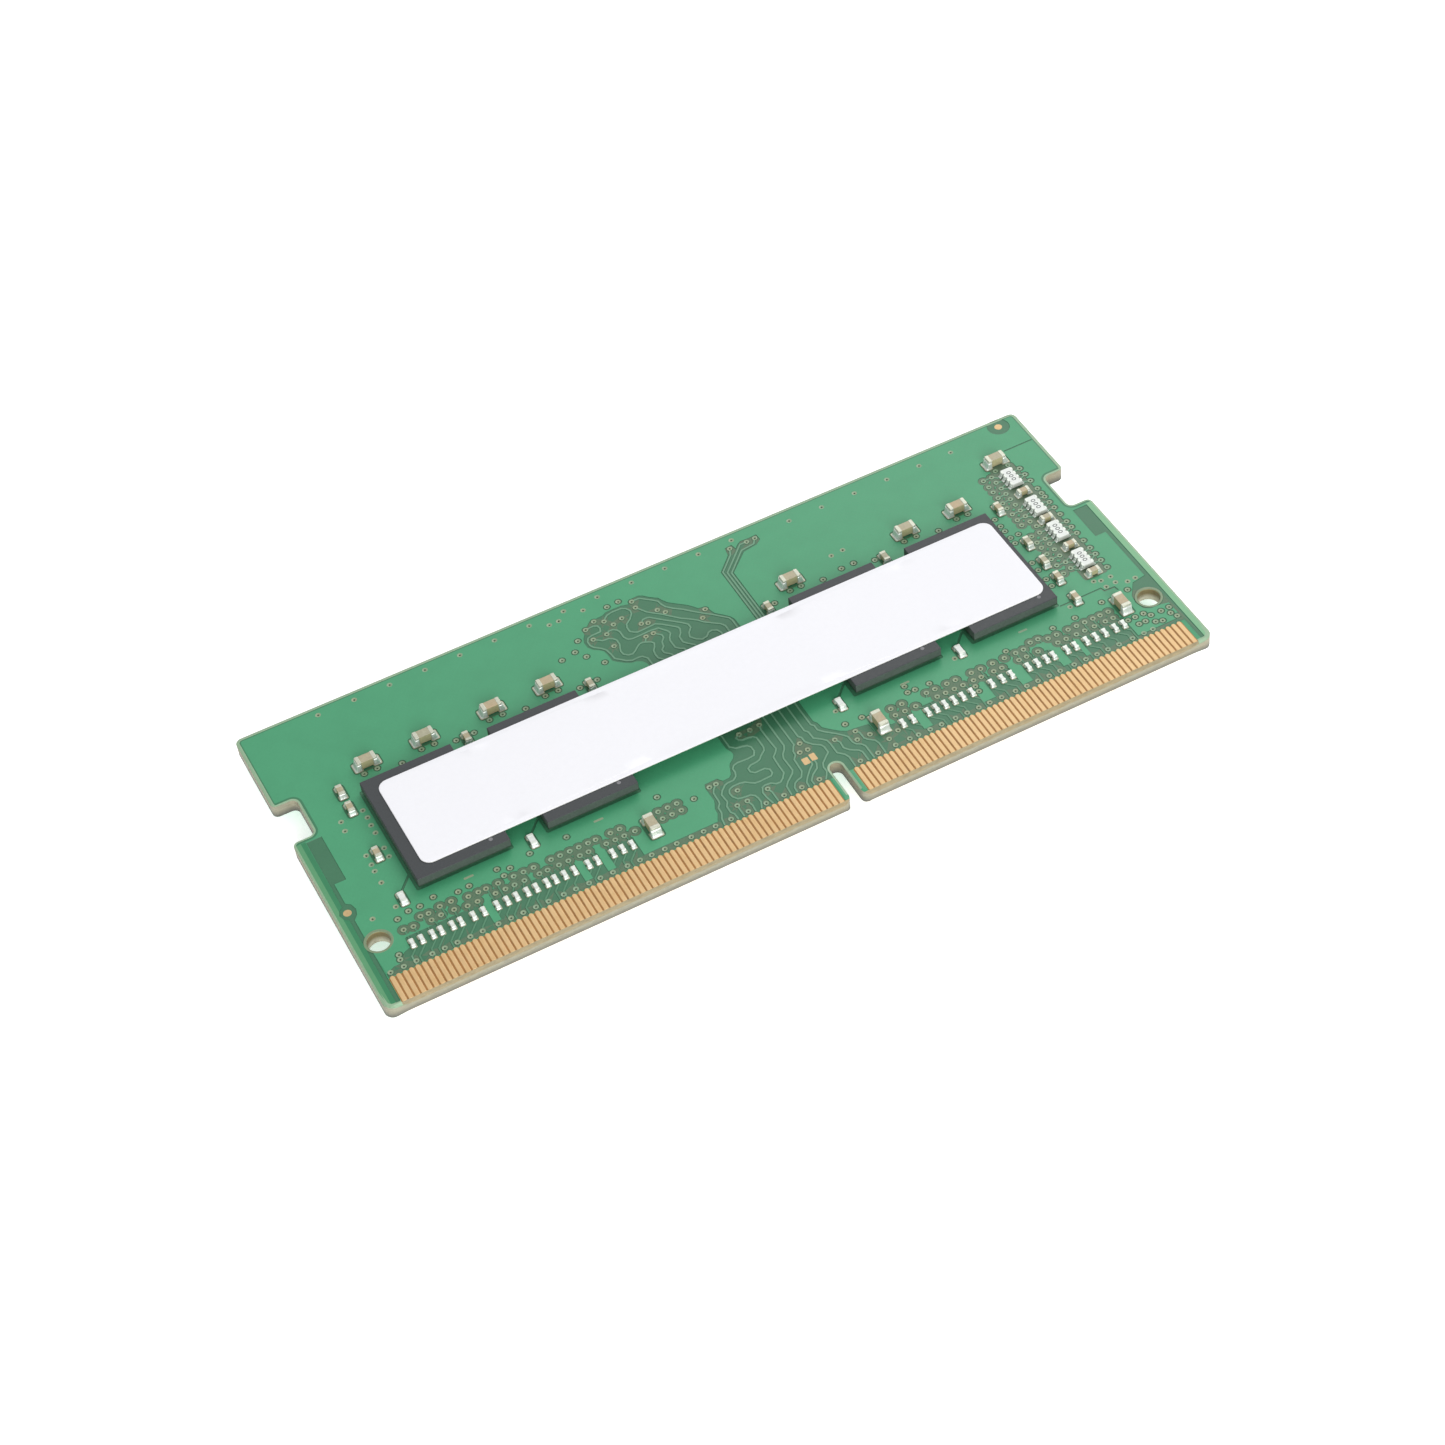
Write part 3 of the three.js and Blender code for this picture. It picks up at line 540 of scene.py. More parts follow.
LOW = {
    "L1": [(29.8, 6.66), (29.42, 6.28), (29.24, 5.97), (29.21, 5.07), (29.16, 4.81), (28.89, 4.49), (28.87, 3.92), (28.63, 3.39), (28.55, 2.8)],
    "L2": [(32.37, 11), (32.37, 9.44), (32.74, 9.07), (33.21, 8.99), (33.58, 8.86), (33.79, 8.55), (33.79, 8.07), (33.58, 7.71), (33.05, 7.65), (32.16, 7.71), (31.79, 7.6), (31.58, 7.34), (31.58, 6.92), (31.42, 6.55), (31.1, 6.31), (30.63, 6.31), (30.32, 6.21), (29.89, 5.81), (29.68, 5.49), (29.71, 5.02), (29.74, 4.65), (29.5, 4.28), (29.47, 3.65), (29.66, 3.34), (29.68, 2.8)],
    "L3": [(33.58, 10.18), (33.21, 9.97), (33.3, 9.7), (33.53, 9.55), (34.0, 9.55), (34.37, 9.44), (34.58, 9.18), (34.58, 8.07), (34.47, 7.76), (34.0, 7.39), (33.74, 7.1), (33.47, 7.02), (32.89, 6.97), (32.58, 6.76), (32.58, 6.39), (32.84, 6.13), (33.63, 6.13), (33.95, 5.86), (33.95, 5.44), (33.74, 5.23), (32.79, 5.18), (32.37, 5.23), (32.05, 5.44), (31.74, 5.71), (31.37, 5.81), (30.79, 5.81), (30.42, 5.65), (30.26, 5.34), (30.29, 4.92), (30.53, 4.55), (30.84, 4.44), (31.53, 4.36), (31.79, 4.13), (31.89, 3.76), (31.89, 3.34), (31.66, 2.8)],
    "M1": [(32.6, 2.8), (32.45, 3.55), (32.42, 4.07), (32.63, 4.55), (32.9, 4.65), (33.37, 4.6), (33.68, 4.34), (34.05, 4.31), (34.34, 4.54), (34.69, 5.0), (34.69, 5.74), (34.74, 6.77), (35.09, 7.11), (35.31, 7.4), (35.26, 8.31), (35.23, 9.69), (35.34, 10.23)],
    "S1": [(32.9, 4.22), (33.05, 3.76), (33.05, 2.8)],
    "S2": [(30.2, 3.96), (30.2, 2.8)],
    "S3": [(31.05, 3.96), (31.2, 3.4), (31.15, 2.8)],
    "M2": [(35.97, 11), (35.97, 7.4), (35.83, 7.06), (35.49, 6.66), (35.34, 6.26), (35.37, 4.89), (35.2, 4.6), (34.51, 4.03), (34.23, 3.69), (34.17, 2.8)],
    "M3": [(36.66, 11), (36.66, 7.06), (36.51, 6.89), (36.29, 6.49), (36.26, 6.09), (35.97, 5.74), (35.91, 4.43), (35.6, 3.91), (35.2, 3.8), (34.91, 3.63), (34.69, 3.29), (34.66, 2.8)],
    "M4": [(36.95, 4.85), (36.91, 4.6), (36.51, 4.26), (36.0, 3.69), (35.71, 3.29), (35.66, 2.8)],
    "M5": [(37.25, 4.9), (37.23, 4.54), (37.03, 4.09), (36.46, 3.69), (36.1, 3.23), (36.1, 2.8)],
    "M6": [(37.31, 11), (37.31, 7.63), (37.49, 7.4), (37.51, 6.89), (37.89, 6.37), (38.4, 5.97), (38.51, 5.69), (38.51, 5.06), (38.17, 4.77), (37.66, 4.31), (37.49, 3.91), (37.51, 3.46), (37.31, 3.11), (37.1, 2.8)],
    "M7": [(38.0, 11), (38.0, 7.91), (38.2, 7.63), (38.23, 6.89), (38.69, 6.49), (39.0, 6.14), (39.06, 5.7), (39.06, 4.66), (39.49, 4.2), (39.63, 3.8), (39.6, 2.8)],
    "M8": [(38.71, 11), (38.71, 8.2), (38.89, 7.97), (38.89, 7.46), (39.26, 7.0), (39.94, 6.37), (40.34, 5.91), (40.54, 5.63), (40.57, 5.0), (40.7, 4.7), (41.05, 4.45), (41.22, 4.15), (41.22, 2.8)],
    "M9": [(39.53, 5.89), (39.77, 5.46), (39.71, 4.83), (40.0, 4.43), (40.57, 4.03), (40.74, 3.74), (40.74, 2.8)],
    "M10": [(41.27, 5.83), (41.49, 5.57), (41.51, 4.89), (41.71, 4.6), (42.11, 4.26), (42.23, 3.86), (42.2, 2.8)],
}
UNDER = [[(31.24, 19.5), (31.24, 12.6), (32.37, 11.0)], [(35.2, 19.5), (35.2, 13.0), (35.97, 11.0)],
         [(36.66, 11.0), (36.66, 14.0), (37.37, 19.5)], [(37.31, 11.0), (37.97, 19.5)],
         [(38.0, 11.0), (38.71, 19.5)], [(38.71, 11.0), (40.5, 14.5), (40.5, 19.5)]]

CLEAR_UP = [(30.97, 19.5), (30.92, 20.44), (30.7, 20.86), (30.3, 21.1), (29.87, 21.18), (29.45, 21.44), (28.97, 21.86), (28.7, 22.18), (28.68, 22.86), (28.6, 23.39), (28.34, 23.7), (27.92, 24.02), (27.66, 24.44), (27.63, 25.07), (27.8, 25.49), (28.05, 25.85), (28.05, 26.45), (28.6, 26.55), (29.0, 26.95), (29.6, 26.95), (30.2, 27.0), (30.5, 27.18), (31.24, 27.2), (31.9, 27.18), (32.5, 27.0), (32.6, 27.3), (32.8, 27.44), (33.55, 27.47), (33.87, 27.28), (34.24, 26.86), (34.8, 26.4), (34.97, 26.0), (35.24, 25.55), (35.76, 25.07), (36.4, 24.5), (36.7, 24.13), (37.0, 23.7), (37.6, 23.55), (37.7, 23.1), (37.87, 22.55), (38.4, 21.97), (38.76, 21.55), (38.92, 21.13), (38.95, 19.5), (39.2, 15.0), (39.05, 10.8), (39.03, 8.43), (39.23, 8.09), (39.31, 7.51), (39.71, 7.06), (40.29, 6.49), (40.74, 6.2), (41.6, 6.1), (42.5, 5.95), (42.52, 5.1), (44.3, 5.0), (44.3, 5.45), (45.85, 5.45), (45.85, 2.62), (28.2, 2.62), (28.26, 3.39), (28.58, 4.0), (28.63, 4.55), (28.84, 5.0), (28.95, 5.3), (28.92, 6.7), (29.05, 7.07), (30.1, 7.1), (30.4, 6.68), (30.95, 6.7), (31.2, 6.92), (31.32, 7.23), (31.47, 7.65), (31.63, 7.92), (32.1, 8.28), (32.3, 8.6), (32.26, 8.97), (32.08, 9.4), (32.05, 10.8), (31.0, 12.4)]
ZONES = [(3.75, 9.95), (10.55, 17.35), (17.95, 19.2), (19.85, 22.15), (46.6, 51.05), (52.1, 54.5),
         (55.4, 58.15), (58.9, 60.2), (60.6, 64.7)]
CLEAR_CHANNEL = [(40.34, 19.5), (40.34, 26.27), (41.72, 27.68), (41.85, 28.5), (42.5, 28.6), (42.6, 28.05), (42.9, 28.35), (43.3, 28.6), (44.1, 28.55), (44.75, 28.6), (44.78, 27.95), (44.25, 27.55), (43.0, 27.35), (41.22, 25.68), (41.22, 19.5), (41.22, 15.0), (40.34, 14.0)]
BROWN = [(62.95, 25.0), (64.2, 25.05), (64.4, 24.9), (66.2, 25.15), (66.74, 24.7), (66.74, 17.0), (66.74, 10.3), (66.4, 9.85), (64.9, 9.75), (64.35, 10.2), (64.0, 11.1), (63.0, 11.2), (62.9, 12.4), (63.0, 14.6), (62.95, 17.1), (62.3, 17.1), (62.3, 17.75), (62.95, 17.8), (62.95, 20.0)]


def rect(x0, y0, x1, y1, r=0.0, n=3):
    if r <= 0:
        return [(x0, y0), (x1, y0), (x1, y1), (x0, y1)]
    return [(p[0], p[1]) for p in rrect((x0 + x1) / 2, (y0 + y1) / 2, (x1 - x0) / 2, (y1 - y0) / 2, r, 0, n)]


def area(p):
    return 0.5 * sum(p[i][0] * p[(i + 1) % len(p)][1] - p[(i + 1) % len(p)][0] * p[i][1] for i in range(len(p)))


def offset(poly, d):
    """closed outline moved outwards by d"""
    if area(poly) < 0:
        poly = poly[::-1]
    out, n = [], len(poly)
    for i in range(n):
        a, b, c = poly[i - 1], poly[i], poly[(i + 1) % n]
        e1 = (b[0] - a[0], b[1] - a[1])
        e2 = (c[0] - b[0], c[1] - b[1])
        l1 = math.hypot(*e1) or 1e-9
        l2 = math.hypot(*e2) or 1e-9
        n1 = (e1[1] / l1, -e1[0] / l1)
        n2 = (e2[1] / l2, -e2[0] / l2)
        k = 1 + n1[0] * n2[0] + n1[1] * n2[1]
        k = max(k, 0.5)
        out.append((b[0] + d * (n1[0] + n2[0]) / k, b[1] + d * (n1[1] + n2[1]) / k))
    return out


def stroke(line, h):
    """outline round an open line, h to each side, with round ends"""
    def nrm(a, b):
        dx, dy = b[0] - a[0], b[1] - a[1]
        l = math.hypot(dx, dy) or 1e-9
        return (-dy / l, dx / l)
    L, R = [], []
    n = len(line)
    for i in range(n):
        if i == 0:
            k = nrm(line[0], line[1])
            s = 1.0
        elif i == n - 1:
            k = nrm(line[-2], line[-1])
            s = 1.0
        else:
            a, b = nrm(line[i - 1], line[i]), nrm(line[i], line[i + 1])
            k = (a[0] + b[0], a[1] + b[1])
            q = max(0.5, 1 + a[0] * b[0] + a[1] * b[1])
            s = 1.0 / q
        L.append((line[i][0] + h * k[0] * s, line[i][1] + h * k[1] * s))
        R.append((line[i][0] - h * k[0] * s, line[i][1] - h * k[1] * s))

    def cap(c, frm):
        a0 = math.atan2(frm[1] - c[1], frm[0] - c[0])
        return [(c[0] + h * math.cos(a0 - math.pi * j / 4), c[1] + h * math.sin(a0 - math.pi * j / 4)) for j in (1, 2, 3)]
    return L + cap(line[-1], L[-1]) + R[::-1] + cap(line[0], R[0])


def board_outline():
    pts = []

    def arc(cx, cy, r, a0, a1, n=6):
        for i in range(n + 1):
            a = math.radians(a0 + (a1 - a0) * i / n)
            pts.append((cx + r * math.cos(a), cy + r * math.sin(a)))
    R, RF = 0.55, 0.75
    n0, n1 = NOTCH_Y - NOTCH_W / 2, NOTCH_Y + NOTCH_W / 2
    arc(RF, RF, RF, 180, 270, 8)
    k0, k1, kr = KEY_X - KEY_W / 2, KEY_X + KEY_W / 2, KEY_W / 2
    arc(k0 - KEY_EASE, KEY_EASE, KEY_EASE, 270, 360)
    arc(KEY_X, KEY_H - kr, kr, 180, 0, 12)
    arc(k1 + KEY_EASE, KEY_EASE, KEY_EASE, 180, 270)
    arc(BL - RF, RF, RF, 270, 360, 8)
    arc(BL - NR_OUT, n0 - NR_OUT, NR_OUT, 0, 90)
    arc(BL - NOTCH_D + NR_IN, n0 + NR_IN, NR_IN, 270, 180)
    arc(BL - NOTCH_D + NR_IN, n1 - NR_IN, NR_IN, 180, 90)
    arc(BL - NR_OUT, n1 + NR_OUT, NR_OUT, 270, 360)
    arc(BL - R, BW - R, R, 0, 90)
    arc(R, BW - R, R, 90, 180)
    arc(NR_OUT, n1 + NR_OUT, NR_OUT, 180, 270)
    arc(NOTCH_D - NR_IN, n1 - NR_IN, NR_IN, 90, 0)
    arc(NOTCH_D - NR_IN, n0 + NR_IN, NR_IN, 360, 270)
    arc(NR_OUT, n0 - NR_OUT, NR_OUT, 90, 180)
    out = []
    for i, p in enumerate(pts):        # split long edges, and put a point where y = 0.2 is crossed
        q = pts[(i + 1) % len(pts)]
        out.append(p)
        cuts = []
        if (p[1] - 0.2) * (q[1] - 0.2) < 0:
            cuts.append((0.2 - p[1]) / (q[1] - p[1]))
        d = math.hypot(q[0] - p[0], q[1] - p[1])
        k = int(d // 1.0)
        for j in range(1, k + 1):
            t = j / (k + 1)
            if all(abs(t - c) > 0.02 for c in cuts):
                cuts.append(t)
        for t in sorted(cuts):
            out.append((p[0] + t * (q[0] - p[0]), p[1] + t * (q[1] - p[1]) if abs(q[1] - p[1]) > 1e-9 else p[1]))
    clean = []
    for p in out:
        if not clean or math.hypot(p[0] - clean[-1][0], p[1] - clean[-1][1]) > 1e-4:
            clean.append(p)
    return clean


OUTLINE = board_outline()
HOLES = [(HOLE_X, HOLE_Y), (BL - HOLE_X, HOLE_Y)]
HN = 40


# ---------------------------------------------------------------- distances
def seg_dist(pts, segs, chunk=4000):
    """distance from points to the nearest of the segments (ax, ay, bx, by, r), less r: smallest value"""
    S = np.asarray(segs, np.float64)
    out = np.full(len(pts), 1e9)
    a, b, r = S[:, 0:2], S[:, 2:4], S[:, 4]
    ab = b - a
    L = np.maximum((ab ** 2).sum(1), 1e-12)
    lo = np.minimum(a, b) - r[:, None] - 1.2
    hi = np.maximum(a, b) + r[:, None] + 1.2
    order = np.argsort(pts[:, 0], kind="stable")
    for i in range(0, len(pts), chunk):
        idx = order[i:i + chunk]
        p = pts[idx]
        use = (hi[:, 0] >= p[:, 0].min()) & (lo[:, 0] <= p[:, 0].max())
        if not use.any():
            continue
        au, abu, Lu, ru = a[use], ab[use], L[use], r[use]
        d = p[:, None, :] - au[None]
        t = np.clip((d * abu[None]).sum(2) / Lu[None], 0, 1)
        q = d - t[..., None] * abu[None]
        out[idx] = (np.sqrt((q ** 2).sum(2)) - ru[None]).min(1)
    return out


def poly_sd(pts, poly):
    """signed distance to a closed outline, positive outside"""
    p = np.asarray(poly, np.float64)
    lo, hi = p.min(0) - 1.3, p.max(0) + 1.3
    near = ((pts >= lo) & (pts <= hi)).all(1)
    out = np.full(len(pts), 9.0)
    q = pts[near]
    if len(q) == 0:
        return out
    a, b = p, np.roll(p, -1, 0)
    ab = b - a
    L = np.maximum((ab ** 2).sum(1), 1e-12)
    res = np.empty(len(q))
    for i in range(0, len(q), 6000):
        c = q[i:i + 6000]
        d = c[:, None, :] - a[None]
        t = np.clip((d * ab[None]).sum(2) / L[None], 0, 1)
        w = d - t[..., None] * ab[None]
        dist = np.sqrt((w ** 2).sum(2)).min(1)
        cond = (a[None, :, 1] > c[:, None, 1]) != (b[None, :, 1] > c[:, None, 1])
        with np.errstate(divide="ignore", invalid="ignore"):
            xi = (b[:, 0] - a[:, 0])[None] * (c[:, None, 1] - a[None, :, 1]) / (b[:, 1] - a[:, 1])[None] + a[None, :, 0]
        inside = (np.where(cond, c[:, None, 0] < xi, False)).sum(1) % 2 == 1
        res[i:i + 6000] = np.where(inside, -dist, dist)
    out[near] = res
    return out


# ---------------------------------------------------------------- one face of the board
STEP = 0.035          # run of the slope at a copper edge
Z_LO, Z_HI = 1.165, 1.2


def board_face(feat, bevel):
    """triangles of one board face with copper relief; returns points, triangles, class of each"""
    V, E = [], []

    def loop(pts, closed=True):
        b, n = len(V), len(pts)
        V.extend((float(p[0]), float(p[1])) for p in pts)
        E.extend((b + i, b + (i + 1) % n) for i in range(n if closed else n - 1))
    loop(OUTLINE)
    # bevel line at y = 0.2, between points of the outline
    ks = [i for i, p in enumerate(OUTLINE) if abs(p[1] - 0.2) < 1e-6]
    xs = sorted(ks, key=lambda i: OUTLINE[i][0])
    for a, b in zip(xs[0::2], xs[1::2]):
        E.append((a, b))
    inner = []
    for d in (-0.02, -0.18, -0.27, -0.36):
        inner.append(offset(OUTLINE, d))
        loop(inner[-1])
    for hx, hy in HOLES:
        for r in (HOLE_R, HOLE_R + 0.03, RING_R, RING_R + STEP):
            loop([(p[0], p[1]) for p in circle(hx, hy, r, 0, HN)])
    for poly in feat["clear"]:
        loop(poly)
        loop(offset(poly, -STEP))
    for poly in feat["lines"]:
        loop(poly)
    for line, w in feat["traces"]:
        loop(stroke(line, w / 2))
        loop(stroke(line, w / 2 + STEP))
    for x, y, r, h, anti in feat["vias"]:
        loop([(p[0], p[1]) for p in circle(x, y, h, 0, 8)])
        loop([(p[0], p[1]) for p in circle(x, y, r, 0, 14, 0.2)])
        loop([(p[0], p[1]) for p in circle(x, y, r + STEP, 0, 14, 0.4)])
        V.append((x, y))
        if anti:
            loop([(p[0], p[1]) for p in circle(x, y, anti, 0, 16, 0.1)])
            loop([(p[0], p[1]) for p in circle(x, y, anti - STEP, 0, 16, 0.3)])
    for poly, cls in feat["paint"]:
        loop(poly)
    r = delaunay_2d_cdt([Vector(v) for v in V], E, [], 0, 1e-5, False)
    pts = np.array([(v[0], v[1]) for v in r[0]])
    tri = np.array([tuple(f) for f in r[2]], np.int64)
    cen = pts[tri].mean(1)
    keep = poly_sd(cen, OUTLINE) < 0
    for hx, hy in HOLES:
        keep &= np.hypot(cen[:, 0] - hx, cen[:, 1] - hy) > HOLE_R * math.cos(math.pi / HN) - 1e-4
    tri, cen = tri[keep], cen[keep]
    used = np.unique(tri)
    remap = np.full(len(pts), -1)
    remap[used] = np.arange(len(used))
    pts, tri = pts[used], remap[tri]

    clear_seg = [(x, y, x, y, anti) for x, y, rr, h, anti in feat["vias"] if anti]
    tr_seg = [(l[i][0], l[i][1], l[i + 1][0], l[i + 1][1], w / 2) for l, w in feat["traces"] for i in range(len(l) - 1)]
    ring_seg = [(x, y, x, y, rr) for x, y, rr, h, anti in feat["vias"]] + [(hx, hy, hx, hy, RING_R) for hx, hy in HOLES]
    hole_seg = [(x, y, x, y, h) for x, y, rr, h, anti in feat["vias"]]

    def fields(p):
        c = np.full(len(p), 9.0)
        for poly in feat["clear"]:
            c = np.minimum(c, poly_sd(p, poly))
        if clear_seg:
            c = np.minimum(c, seg_dist(p, clear_seg))
        t = -seg_dist(p, tr_seg) if tr_seg else np.full(len(p), -9.0)
        g = -seg_dist(p, ring_seg)
        h = -seg_dist(p, hole_seg)
        return c, t, g, h
    c, t, g, h = fields(pts)
    d_out = -poly_sd(pts, OUTLINE)
    cu = np.maximum(np.maximum(c, t), g)
    s = np.clip((cu + STEP) / STEP, 0, 1)
    s = s * s * (3 - 2 * s)
    z = Z_LO + (Z_HI - Z_LO) * s
    z = np.where(g > -1e-6, z + 0.006, z)
    z = np.where(h > -1e-6, z - 0.02, z)
    z = np.where(h > 0.03, z - 0.10, z)
    # contact fields sit a little lower, on bare laminate
    for _, x0, n in ROWS:
        a, b = x0 - PIN_W / 2 - 0.08, x0 + (n - 1) * PITCH + PIN_W / 2 + 0.08
        inz = (pts[:, 0] > a - 1e-4) & (pts[:, 0] < b + 1e-4) & (pts[:, 1] < 2.6 + 1e-4)
        z = np.where(inz, 1.155, z)
    for hx, hy in HOLES:
        rr = np.hypot(pts[:, 0] - hx, pts[:, 1] - hy)
        z = np.where(rr < HOLE_R + 0.01, z - 0.03, z)
    z = z - np.where(d_out < 0.02, 0.05, np.where(d_out < 0.05, 0.015, 0.0))
    fade = np.clip((pts[:, 0] - 0.35) / 0.8, 0, 1) * np.clip((BL - 0.35 - pts[:, 0]) / 0.8, 0, 1)
    z = z - bevel * np.maximum(0.2 - pts[:, 1], 0) * fade
    ct, tt, gt, ht = fields(cen)
    dc = -poly_sd(cen, OUTLINE)
    cuc = np.maximum(np.maximum(ct, tt), gt)
    # class 4, the slope band just outside copper, gets the darker mask that paints the slope's shade
    cls = np.where(cuc > 0, np.where(gt > 0, 3, np.where((tt > 0) & (ct < 0), 2, 0)), np.where(cuc > -STEP, 4, 1))
    cls = np.where((ht > 0), 5, cls)
    cls = np.where((cls == 1) & (gt > -0.28), 15, cls)
    for poly, k in feat["paint"]:
        ins = poly_sd(cen, poly) < 0
        if isinstance(k, tuple):
            for frm, to in k:
                cls = np.where(ins & (cls == frm), to, cls)
        else:
            cls = np.where(ins, k, cls)
    for hx, hy in HOLES:
        cls = np.where(np.hypot(cen[:, 0] - hx, cen[:, 1] - hy) < RING_R, 16, cls)
    corner = (cen[:, 1] < 1.3) & ((cen[:, 0] < 1.3) | (cen[:, 0] > BL - 1.3))
    cls = np.where((dc < 0.36) & (cls == 0) & (cen[:, 1] > 17.6), 19, cls)
    cls = np.where(dc < np.where(corner, 0.36, np.where(cen[:, 1] < 0.9, 0.0, np.where(cen[:, 1] > 22.3, 0.27, 0.18))), 18, cls)
    cls = np.where((cen[:, 1] < 0.2) & ~corner, 12, cls)
    cls = np.where((cen[:, 1] < 0.2) & corner, 18, cls)
    cls = np.where((dc < 0.02) & (cen[:, 1] > 0.2), 10, cls)
    return pts, z, tri, cls


CLS = ["pour", "bare", "trace", "ring", "edge", "pit", "brown", "band", "band2", "plate", "lam", "lamtop", "bevel", "tin", "bandl", "halo", "holerim", "tracef", "rim", "rimline"]


def cap_clear(x, y, along, l, w, m):
    hx, hy = (l / 2 + m, w / 2 + m * 0.62) if along == "x" else (w / 2 + m * 0.62, l / 2 + m)
    return rect(x - hx, y - hy, x + hx, y + hy, 0.28)


def front_features():
    clear = [CLEAR_UP, CLEAR_CHANNEL, rect(64.35, 10.15, 66.5, 25.0, 0.3)]
    for line in ([(5.16, 9.36), (6.3, 10.6)], [(15.68, 9.36), (16.8, 10.55)], [(41.7, 9.36), (42.9, 10.6)], [(52.2, 9.36), (53.3, 10.5)]):
        clear.append(stroke(line, 0.10))
    # dark band of bare mask round each package footprint, widest on the left: painted shadow under the package edges
    for cx in PKG_X:
        clear.append(rect(cx - PKG_W / 2 - 0.20, PKG_Y - PKG_L / 2 - 0.03, cx + PKG_W / 2 + 0.16, PKG_Y + PKG_L / 2 + 0.08, 0.15))
    for a, b in ZONES:
        clear.append(rect(a, 2.62, b, 5.42, 0.22))
    clear.append([(1.35, 2.62), (1.35, 3.05), (2.1, 3.4), (2.5, 3.4), (3.2, 4.2), (3.75, 4.4), (4.1, 4.4), (4.1, 2.62)])
    clear.append(rect(22.0, 2.62, 28.4, 3.32, 0.15))
    clear.append(rect(64.5, 2.62, 68.75, 3.05, 0.15))
    clear.append(rect(9.8, 2.62, 10.7, 3.3, 0.1))
    clear.append(rect(17.2, 2.62, 18.1, 3.3, 0.1))
    clear.append(rect(19.0, 2.62, 20.0, 3.3, 0.1))
    for a, b in ((45.7, 46.8), (50.9, 52.3), (54.3, 55.6), (58.0, 59.1), (60.1, 60.8)):
        clear.append(rect(a, 2.62, b, 3.3, 0.1))
    # dark strips along the ends, and the identification strip
    clear.append([(0.92, 0.25), (1.25, 0.25), (1.25, 8.8), (1.6, 9.2), (1.75, 9.72), (1.6, 10.3), (1.25, 10.6), (1.25, 12.7), (2.2, 12.7), (2.2, 17.5), (0.95, 17.5), (0.92, 10.4), (0.62, 10.2), (0.42, 9.72), (0.62, 9.2), (0.92, 9.0)])
    clear.append([(68.62, 0.3), (68.98, 0.3), (68.98, 17.45), (67.67, 17.45), (67.67, 14.0), (68.6, 14.0), (68.6, 8.3), (67.4, 8.1), (66.9, 7.4), (66.55, 6.9), (66.4, 6.1), (66.6, 5.3), (67.1, 5.0), (68.0, 4.95), (68.6, 4.8)])
    clear.append([(p[0], p[1]) for p in circle(67.7, 29.13, 0.95, 0, 24)])
    clear.append(rect(66.55, 26.27, 69.2, 26.40))
    clear.append([(61.2, 8.81), (64.9, 8.81), (65.0, 8.42), (65.86, 8.38), (65.94, 8.02), (66.07, 8.02), (65.99, 8.5), (65.1, 8.56), (65.0, 8.94), (61.2, 8.94)])
    for x, y in CAPS_BACK_EDGE:
        clear.append(cap_clear(x, y, "x", 1.6, 0.8, 0.42))
    for x, y in CAPS_LOWER:
        clear.append(cap_clear(x, y, "y", 1.6, 0.8, 0.42))
    for x, y in CAPS_GAP + CAPS_END + CAPS_EXTRA:
        clear.append(cap_clear(x, y, "y", 1.0, 0.5, 0.36))
    for x, y in RES_FRONT:
        clear.append(cap_clear(x, y, "y", 1.0, 0.5, 0.30))
    vias = []
    for x in V_CONTACT:
        vias.append((x, 3.03, 0.225, 0.085, 0.0))
    for x, y in V_57 + V_65:
        vias.append((x, y, 0.225, 0.085, 0.50))
    for x, y in V_LOW + V_LEFT:
        vias.append((x, y, 0.225, 0.085, 0.32 if y < 8 else 0.0))
    for x, y in V_RIGHT:
        vias.append((x, y, 0.225, 0.085, 0.31 if x < 63 else (0.47 if x < 66 else 0.35)))
    for x, y in V_UPPER:
        vias.append((x, y, 0.225, 0.085, 0.32 if (25 < x < 39 and y < 28) or abs(y - 21.3) < 0.45 else 0.0))
    traces = [(l, 0.14) for l in UP.values()] + [(l, 0.14) for l in LOW.values()] + [(l, 0.14) for l in UNDER]
    # wiring from the contacts to the row of series resistors, and on to the via rows
    pins = [x0 + i * PITCH for _, x0, n in ROWS for i in range(n)]
    used = set()
    for x in ROW_X:
        shift = -0.62 if x < 30 else 0.42
        want = x + shift
        free = [p for p in pins if p not in used]
        p = min(free, key=lambda q: abs(q - want))
        used.add(p)
        dy = min(abs(x - p), 1.15)
        y1 = 4.18
        y0 = max(y1 - dy - 0.12, 2.95)
        traces.append(([(p, 2.62), (p, y0 - 0.02), (x - 0.0, y0 + dy), (x, 4.4)], 0.13))
        near = [v for v in V_57 + V_65 if abs(v[0] - x) < 0.75]
        if near:
            v = min(near, key=lambda q: abs(q[0] - x) + 0.2 * abs(q[1] - 5.7))
            traces.append(([(x, 4.95), (x, v[1] - 0.25 - abs(v[0] - x) * 0.6), v], 0.12))
